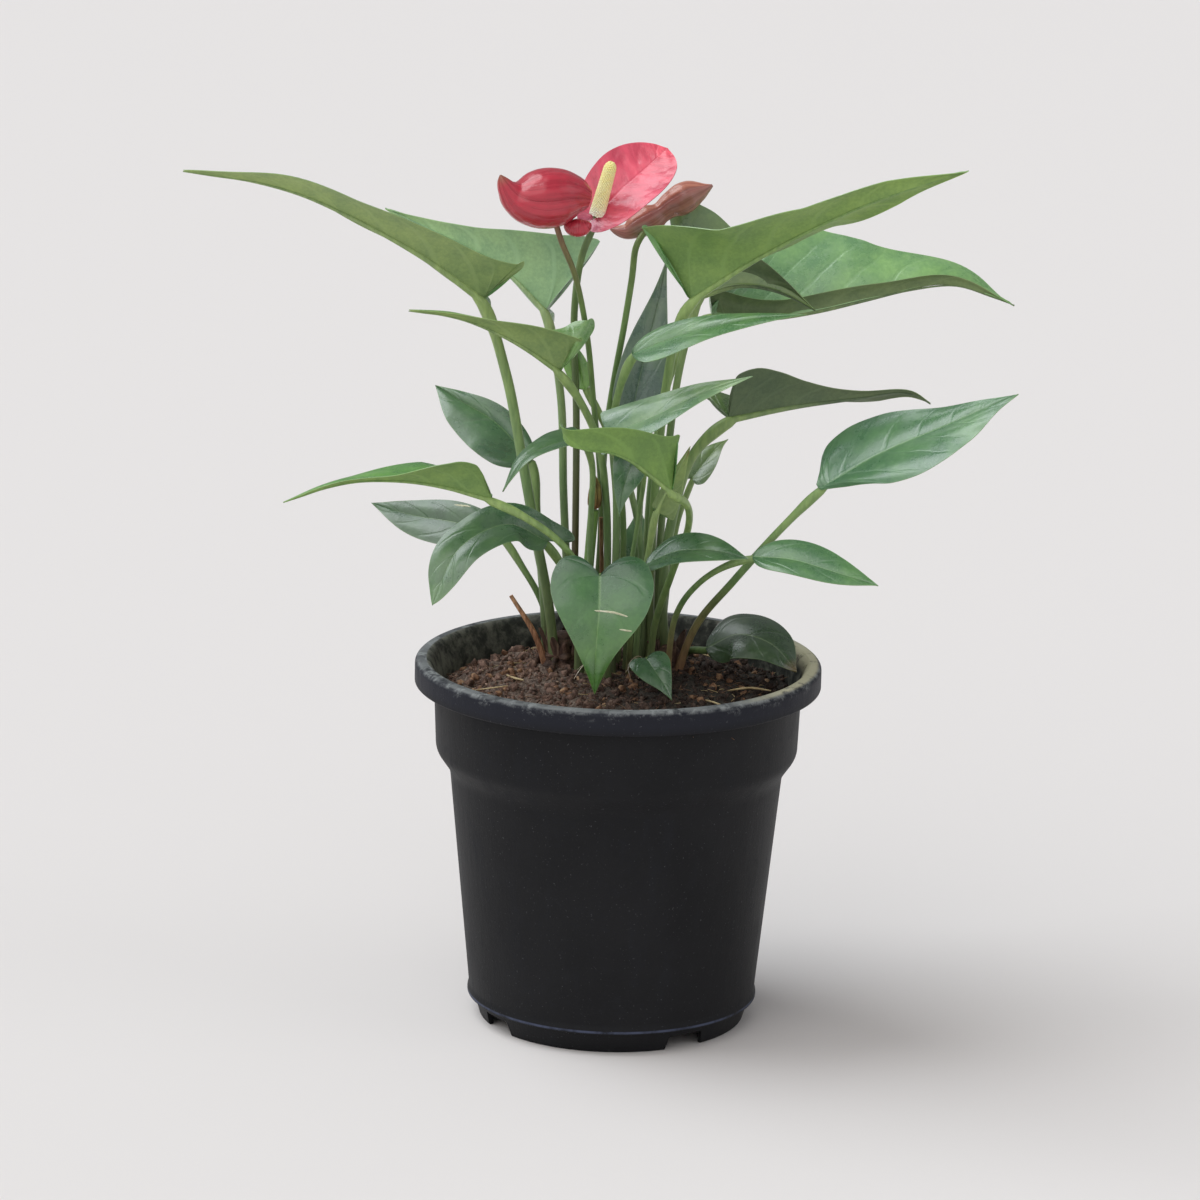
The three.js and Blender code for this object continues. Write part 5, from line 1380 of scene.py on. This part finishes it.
def potSkin(graph):
    place = graph.place()
    across, depth, height = (graph.axis(place, name) for name in "XYZ")
    radius = (across * across + depth * depth) ** 0.5
    cloud = graph.noise(38, 5, 0.6)
    streak = graph.noise(11, 5, 0.65, graph.place(scale=(1, 1, 0.22)))
    colour = graph.mix(cloud.step(0.3, 0.7), (0.0035, 0.0038, 0.0052), (0.0075, 0.0078, 0.0095))
    rimBlue = height.step(134, 140)
    colour = graph.mix(rimBlue * 0.8, colour, (0.011, 0.0125, 0.021))
    dust = (streak.step(0.5, 0.78) * 0.5 + graph.noise(5, 6, 0.75).step(0.52, 0.8) * 0.5)
    colour = graph.mix(dust * 0.22, colour, (0.045, 0.05, 0.065))
    specks = graph.noise(0.9, 3, 0.6).step(0.66, 0.72)
    colour = graph.mix(specks * 0.3, colour, (0.14, 0.14, 0.15))
    # Pale grey on the lip's top and outer edge is wear, together with painted highlights where the lip's
    # edges catch the light.
    lipTop = height.step(143.2, 145) * graph.noise(6, 6, 0.75).step(0.42, 0.62)
    lipEdge = height.step(140.5, 144.9) * radius.step(78, 80) * graph.noise(9, 6, 0.8).step(0.53, 0.68)
    rubAndHighlight = height.step(144.2, 144.9) * graph.noise(16, 5, 0.7).step(0.3, 0.6) * 0.7
    wearAndHighlight = lipTop.math("MAXIMUM", lipEdge).math("MAXIMUM", rubAndHighlight)
    colour = graph.mix(wearAndHighlight * 0.65, colour, (0.36, 0.38, 0.38))
    wallFace = 71.2 + (height - 135.7).math("MAXIMUM", 0.0) * 0.45
    inside = (1 - (radius - wallFace).step(-0.3, 0.3)) * height.step(126, 129)
    grime = graph.noise(7, 6, 0.7)
    stain = graph.ramp(grime + (1 - across.step(-70, -20)) * 0.12, [
        (0.36, (0.012, 0.013, 0.012)), (0.52, (0.04, 0.042, 0.036)), (0.7, (0.15, 0.15, 0.125))])
    colour = graph.mix(inside, colour, stain)
    east = across.step(42, 70) * (1 - depth.step(18, 60)) * height.step(139, 142)
    onLip = radius.step(71, 74) * (1 - radius.step(78, 79.4))
    crust = east * graph.noise(6, 5, 0.7).step(0.32, 0.48) * onLip
    colour = graph.mix(crust * 0.9, colour, (0.5, 0.47, 0.33))
    seam = height.step(9.0, 9.4) * (1 - height.step(9.9, 10.3)) * graph.noise(14, 5, 0.7).step(0.3, 0.6)
    colour = graph.mix(seam * 0.55, colour, (0.1, 0.12, 0.2))
    roughness = 0.5 + dust * 0.3 + cloud * 0.12 + wearAndHighlight * 0.3 + crust * 0.4 + inside * 0.35
    bumps = 0.09 * graph.noise(0.9, 4, 0.6) + 0.25 * streak + crust * 0.5 * grime + inside * 0.3 * grime
    return colour, roughness, bumps, {"Specular IOR Level": 0.22}


# Crowns, shoots and the small things that lie on the peat. A crown's profile gives widths by height.
crowns = [
    {"name": "crown_left", "centre": (-22, 18), "radius": 8.5, "height": 13, "seed": 4, "flakes": 9,
     "roots": 6},
    {"name": "crown_right", "centre": (20, 14), "radius": 7, "height": 10, "seed": 9, "flakes": 8,
     "roots": 5},
]
crownSettings = {
    "sink": 4, "sides": 72, "rings": 44, "cap": 0.4, "scar": 0.05, "scars": 19, "rough": 0.07,
    "roughSize": 2.2,
    "lobes": ((0.09, 5, 2.4), (0.05, 8, -3)),    # how far out, how many round, how much they twist
    "profile": ((-0.4, 0.05, 0.35, 0.65, 0.9, 1), (0.9, 1, 0.9, 0.72, 0.5, 0.3)),
    "flakeLength": (6, 13), "flakeWidth": 3.2, "flakeEnd": 0.08, "flakeThickness": 0.25,
    "flakeRows": 12, "flakeColumns": 6, "flakeCup": 1.2, "flakeBow": 1.4, "flakeFoot": (0.25, 0.86),
    "rootReach": (3, 6), "rootRadii": (1.2, 0.8), "rootStart": (0.3, 0.7), "rootSteps": 14,
    "rootTint": (0.8, 0.75, 0.7),
}


def crownPoint(crown, base, outward, shares):    # shares of the crown's height and of its radius
    middle = np.array([*crown["centre"], base + crown["height"] * shares[0]])
    return middle + outward * crown["radius"] * shares[1]


def addCrown(crown):
    random = np.random.default_rng(crown["seed"])
    x, y = crown["centre"]
    base = peatHeight(x, y)
    sides, rings, sink = crownSettings["sides"], crownSettings["rings"], crownSettings["sink"]
    turns = 2 * np.pi * np.arange(sides) / sides
    points = [[[x, y, base - sink], [x, y, base + crown["height"] + crownSettings["cap"]]]]
    for share in np.linspace(0, 1, rings):
        level = blend(-sink, crown["height"], share)
        up = level / crown["height"]
        profile = np.interp(up, *crownSettings["profile"])
        scar = crownSettings["scar"] * math.sin(up * crownSettings["scars"] + 1) * (1 if level > 0 else 0)
        lobes = sum(out * np.cos(count * turns + twist * up)
                    for out, count, twist in crownSettings["lobes"])
        size = crownSettings["roughSize"]
        places = [Vector((size * math.cos(t), size * math.sin(t), level / 2.5)) for t in turns]
        rough = [crownSettings["rough"] * noise.noise(place) for place in places]
        reach = crown["radius"] * profile * (1 + scar + lobes + rough)
        points.append(ringAt([x, y, base + level], reach, turns, (1, 0, 0), (0, 1, 0)))
    form = Form()
    form.add(np.vstack(points), closedFaces(rings, sides))
    for k in range(crown["flakes"]):             # papery sheaths that stand round the stalks
        turn = 2 * math.pi * (k + random.uniform(-0.3, 0.3)) / crown["flakes"]
        length = random.uniform(*crownSettings["flakeLength"])
        outward = np.array([math.cos(turn), math.sin(turn), 0])
        foot = crownPoint(crown, base, outward, crownSettings["flakeFoot"])
        lean = outward * random.uniform(-0.25, 0.4) + np.array([0, 0, 1])
        addFlake(form, foot, unit(lean), outward, length, random.uniform(0.6, 1.3))
    for k in range(crown["roots"]):              # thick young roots that bend down into the peat
        turn = random.uniform(0, 2 * math.pi)
        outward = np.array([math.cos(turn), math.sin(turn), 0])
        start = crownPoint(crown, base, outward, crownSettings["rootStart"])
        reach = random.uniform(*crownSettings["rootReach"])
        middle, end = start + outward * reach * 0.6 + [0, 0, -0.8], start + outward * reach + [0, 0, -6]
        share = np.linspace(0, 1, crownSettings["rootSteps"])
        radii = blend(*crownSettings["rootRadii"], share)
        form.tube(Route([start, middle, end]).at(share), radii, 9, 0, crownSettings["rootTint"])
    piece = form.build(crown["name"] + "_scarred", [materials["crown"], materials["papery"]], 60)
    settle(piece, "crown_red_brown", crown["name"])


def addFlake(form, foot, lean, outward, length, widthShare):
    across = unit(np.cross(lean, outward))
    rows, columns = crownSettings["flakeRows"], crownSettings["flakeColumns"]
    sheet = []
    for share in np.linspace(0, 1, rows):
        half = crownSettings["flakeWidth"] * widthShare * (1 - share) ** 0.6 + crownSettings["flakeEnd"]
        for side in np.linspace(-1, 1, columns):
            bow = outward * (crownSettings["flakeBow"] * share ** 2 - crownSettings["flakeCup"] * side ** 2)
            sheet.append(foot + lean * length * share + across * half * side + bow)
    sheet = np.array(sheet)
    inner = sheet - outward * crownSettings["flakeThickness"]
    count = len(sheet)
    faces, _ = gridFaces(rows - 1, columns - 1)
    faces += gridFaces(rows - 1, columns - 1, first=count, flipped=True)[0]
    rim = [*range(columns), *range(2 * columns - 1, count, columns)]
    rim += [*range(count - 2, count - columns - 1, -1), *range(count - 2 * columns, 0, -columns)]
    faces += [[end, start, start + count, end + count] for start, end in zip(rim, rim[1:] + rim[:1])]
    points = np.vstack([sheet, inner])
    first = points[faces[0]]
    if np.dot(np.cross(first[1] - first[0], first[2] - first[1]), outward) < 0:
        faces = [face[::-1] for face in faces]
    form.add(points, faces, 1)


stems = [
    {"name": "young_shoot", "slot": "leaf_fresh", "skin": "stalk", "radius": 2.1, "foot": (-14, 14),
     "route": [(-13, 12, 170), (-11, 9, 203)], "taper": (1.1, 0.95, 1), "flute": 0.03,
     "tints": ((0.13, 0.06, 0.03), (0.12, 0.25, 0.06), (0.19, 0.33, 0.08))},
    {"name": "broken_stalk", "slot": "dry_brown", "skin": "dry", "radius": 1, "foot": (-6, 19),
     "route": [(-7, 17, 170), (-8, 14, 199)], "taper": (1.1, 0.9, 0.7), "flute": 0.12,
     "tints": ((0.09, 0.045, 0.025), (0.2, 0.1, 0.05), (0.3, 0.19, 0.1))},
    {"name": "dry_stub", "slot": "dry_brown", "skin": "dry", "radius": 1.3, "foot": (-26, 14),
     "route": [(-33, 14.5, 150), (-43, 16, 166)], "taper": (1.3, 0.9, 0.6), "flute": 0.14,
     "tints": ((0.15, 0.08, 0.05), (0.42, 0.21, 0.12), (0.5, 0.29, 0.17))},
]


def addStem(stem):
    route = Route([rootOf(stem["foot"]), *stem["route"]])
    share = np.linspace(0, 1, 60)
    radii = stem["radius"] * np.interp(share, [0, 0.5, 1], stem["taper"])
    form = Form()
    form.tube(route.at(share), radii, 14, 0, tintedBy(share, stem["tints"]), stem["flute"])
    piece = form.build(stem["name"] + "_grown", [materials[stem["skin"]]])
    settle(piece, stem["slot"], stem["name"])


bud = {"seat": (-11, 9, 203.6), "length": 14, "radius": 2.6, "sides": 54, "ribs": 9, "ribDepth": 0.13,
       "profile": ((0, 0.08, 0.3, 0.55, 0.8, 0.94, 1), (0.4, 0.86, 1, 0.86, 0.5, 0.22, 0.06)),
       "bend": (0.56, 0.24), "folds": 17, "foldDepth": 0.06,
       "tints": ((0.2, 0.09, 0.04), (0.26, 0.22, 0.07), (0.2, 0.15, 0.05))}


def addBud():
    share = np.linspace(0, 1, 46)
    radii = bud["radius"] * np.interp(share, *bud["profile"])
    bow = np.sin(share * math.pi)
    line = np.stack([bow * bud["bend"][0], bow * bud["bend"][1], share * bud["length"]], -1) + bud["seat"]
    form = Form()
    sides = bud["sides"]
    form.tube(line, radii, sides, 0, tintedBy(share, bud["tints"]))
    points = form.points[0]
    turns = 2 * np.pi * np.arange(sides) / sides
    for ring, centre in enumerate(line):
        rows = slice(ring * sides, (ring + 1) * sides)
        ribs = bud["ribDepth"] * np.cos(bud["ribs"] * turns + 2.5 * share[ring])
        ribs += bud["foldDepth"] * np.sin(bud["folds"] * turns + 9 * share[ring])
        points[rows] = centre + (points[rows] - centre) * (1 + ribs)[:, None]
    piece = form.build("withered_bud_ribbed", [materials["dry"]])
    settle(piece, "dry_brown", "withered_bud")


def crownSkin(graph):
    tint = graph.attribute("tint", "Color")
    rings = graph.noise(2.6, 5, 0.65, graph.place(scale=(0.4, 0.4, 1.6)), 0.6)
    colour = graph.ramp(rings, [(0.3, (0.018, 0.011, 0.009)), (0.48, (0.065, 0.035, 0.025)),
                                (0.62, (0.125, 0.07, 0.048)), (0.78, (0.25, 0.17, 0.12))])
    colour = graph.tinted(colour, tint)
    return colour, 0.68, 0.7 * rings + 0.25 * graph.noise(0.6, 4), {"Specular IOR Level": 0.35}


def paperySkin(graph):
    fibres = graph.noise(1.4, 5, 0.65, graph.place(scale=(1, 1, 0.14)))
    colour = graph.ramp(fibres, [(0.3, (0.025, 0.014, 0.011)), (0.52, (0.09, 0.047, 0.034)),
                                 (0.72, (0.23, 0.155, 0.11))])
    return colour, 0.62, 0.3 * fibres, {"Specular IOR Level": 0.35}


def drySkin(graph):
    tint = graph.attribute("tint", "Color")
    fibres = graph.noise(1.3, 5, 0.65, graph.place(scale=(1, 1, 0.16)))
    shade = graph.mix(fibres.step(0.3, 0.7), (0.45, 0.4, 0.36), (1.4, 1.35, 1.3))
    return graph.tinted(tint, shade), 0.7, 0.35 * fibres, {"Specular IOR Level": 0.35}


def rootHairSkin(graph):
    patches = graph.noise(3, 3)
    return graph.mix(patches.step(0.3, 0.7), (0.55, 0.43, 0.3), (0.82, 0.76, 0.66)), 0.6, None, {}


strays = {                                       # each row: a thickness, then points on or above the peat
    "fallen_straws": ("straw", [
        (0.45, (43, -12, 1.2), (52, -11, 2.6), (60, -13, 4)),
        (0.35, (31, -24, 0.8), (38, -28, 1.6), (45, -31, 1)),
        (0.5, (-44, -2, 1), (-41, -6, 1.5), (-37, -10, 1)),
        (0.3, (-56, -12, 0.6), (-49, -15, 1.8), (-43, -15, 1)),
        (0.3, (2, -52, 0.7), (9, -54, 1.4), (15, -51, 0.8)),
        (0.35, (24, 41, 0.8), (31, 47, 1.8), (40, 46, 1)),
        (0.3, (-38, 40, 0.7), (-33, 47, 1.6), (-24, 50, 0.9)),
    ]),
    "root_hairs": ("rootHair", [
        (0.2, (8, -8, 1), (10, -10, 7), (7, -12, 11), (3, -13, 5)),
        (0.16, (9, -6, 1), (13, -9, 9), (17, -11, 6), (14, -14, 1)),
        (0.14, (5, -9, 1), (4, -11, 8), (8, -13, 13), (12, -13, 9)),
        (0.16, (15, -3, 2), (18, -7, 8), (15, -10, 12), (10, -11, 9)),
        (0.14, (-16, 4, 2), (-13, 0, 6), (-15, -4, 5), (-18, -6, 1)),
    ]),
}


def addStrays():
    for name, (finish, rows) in strays.items():
        form = Form()
        for radius, *points in rows:
            line = Route([[x, y, roughPeatHeight(x, y) + above] for x, y, above in points])
            share = np.linspace(0, 1, 26)
            form.tube(line.at(share), radius * np.sin(math.pi * (0.12 + 0.8 * share)) ** 0.5, 7)
        settle(form.build(name, [materials[finish]]), "peat_brown")


materials = {}
for finish, build in {
    "upper": upperSkin, "under": underSkin, "stalk": stalkSkin, "scar": scarSkin, "spathe": spatheSkin,
    "floret": floretSkin, "pot": potSkin, "peat": peatSkin, "crumb": crumbSkin, "chip": chipSkin,
    "coir": coirSkin, "straw": strawSkin, "crown": crownSkin, "papery": paperySkin, "dry": drySkin,
    "rootHair": rootHairSkin,
}.items():
    materials[finish] = newMaterial(finish, build)
addCamera()
addStudio()
print("studio and", len(materials), "materials made")
addPot()
print("pot made")
peatTop = addPeat()
addLitter(peatTop)
bpy.data.objects.remove(peatTop)
addStrays()
print("peat and litter made")
for crown in crowns:
    addCrown(crown)
for stem in stems:
    addStem(stem)
addBud()
print("crowns and shoots made")
for leaf in leaves:
    addLeaf(leaf)
print(len(leaves), "leaves made")
florets = floretTree()
for bloom in blooms:
    addBloom(bloom, florets)
print(len(blooms), "blooms made")
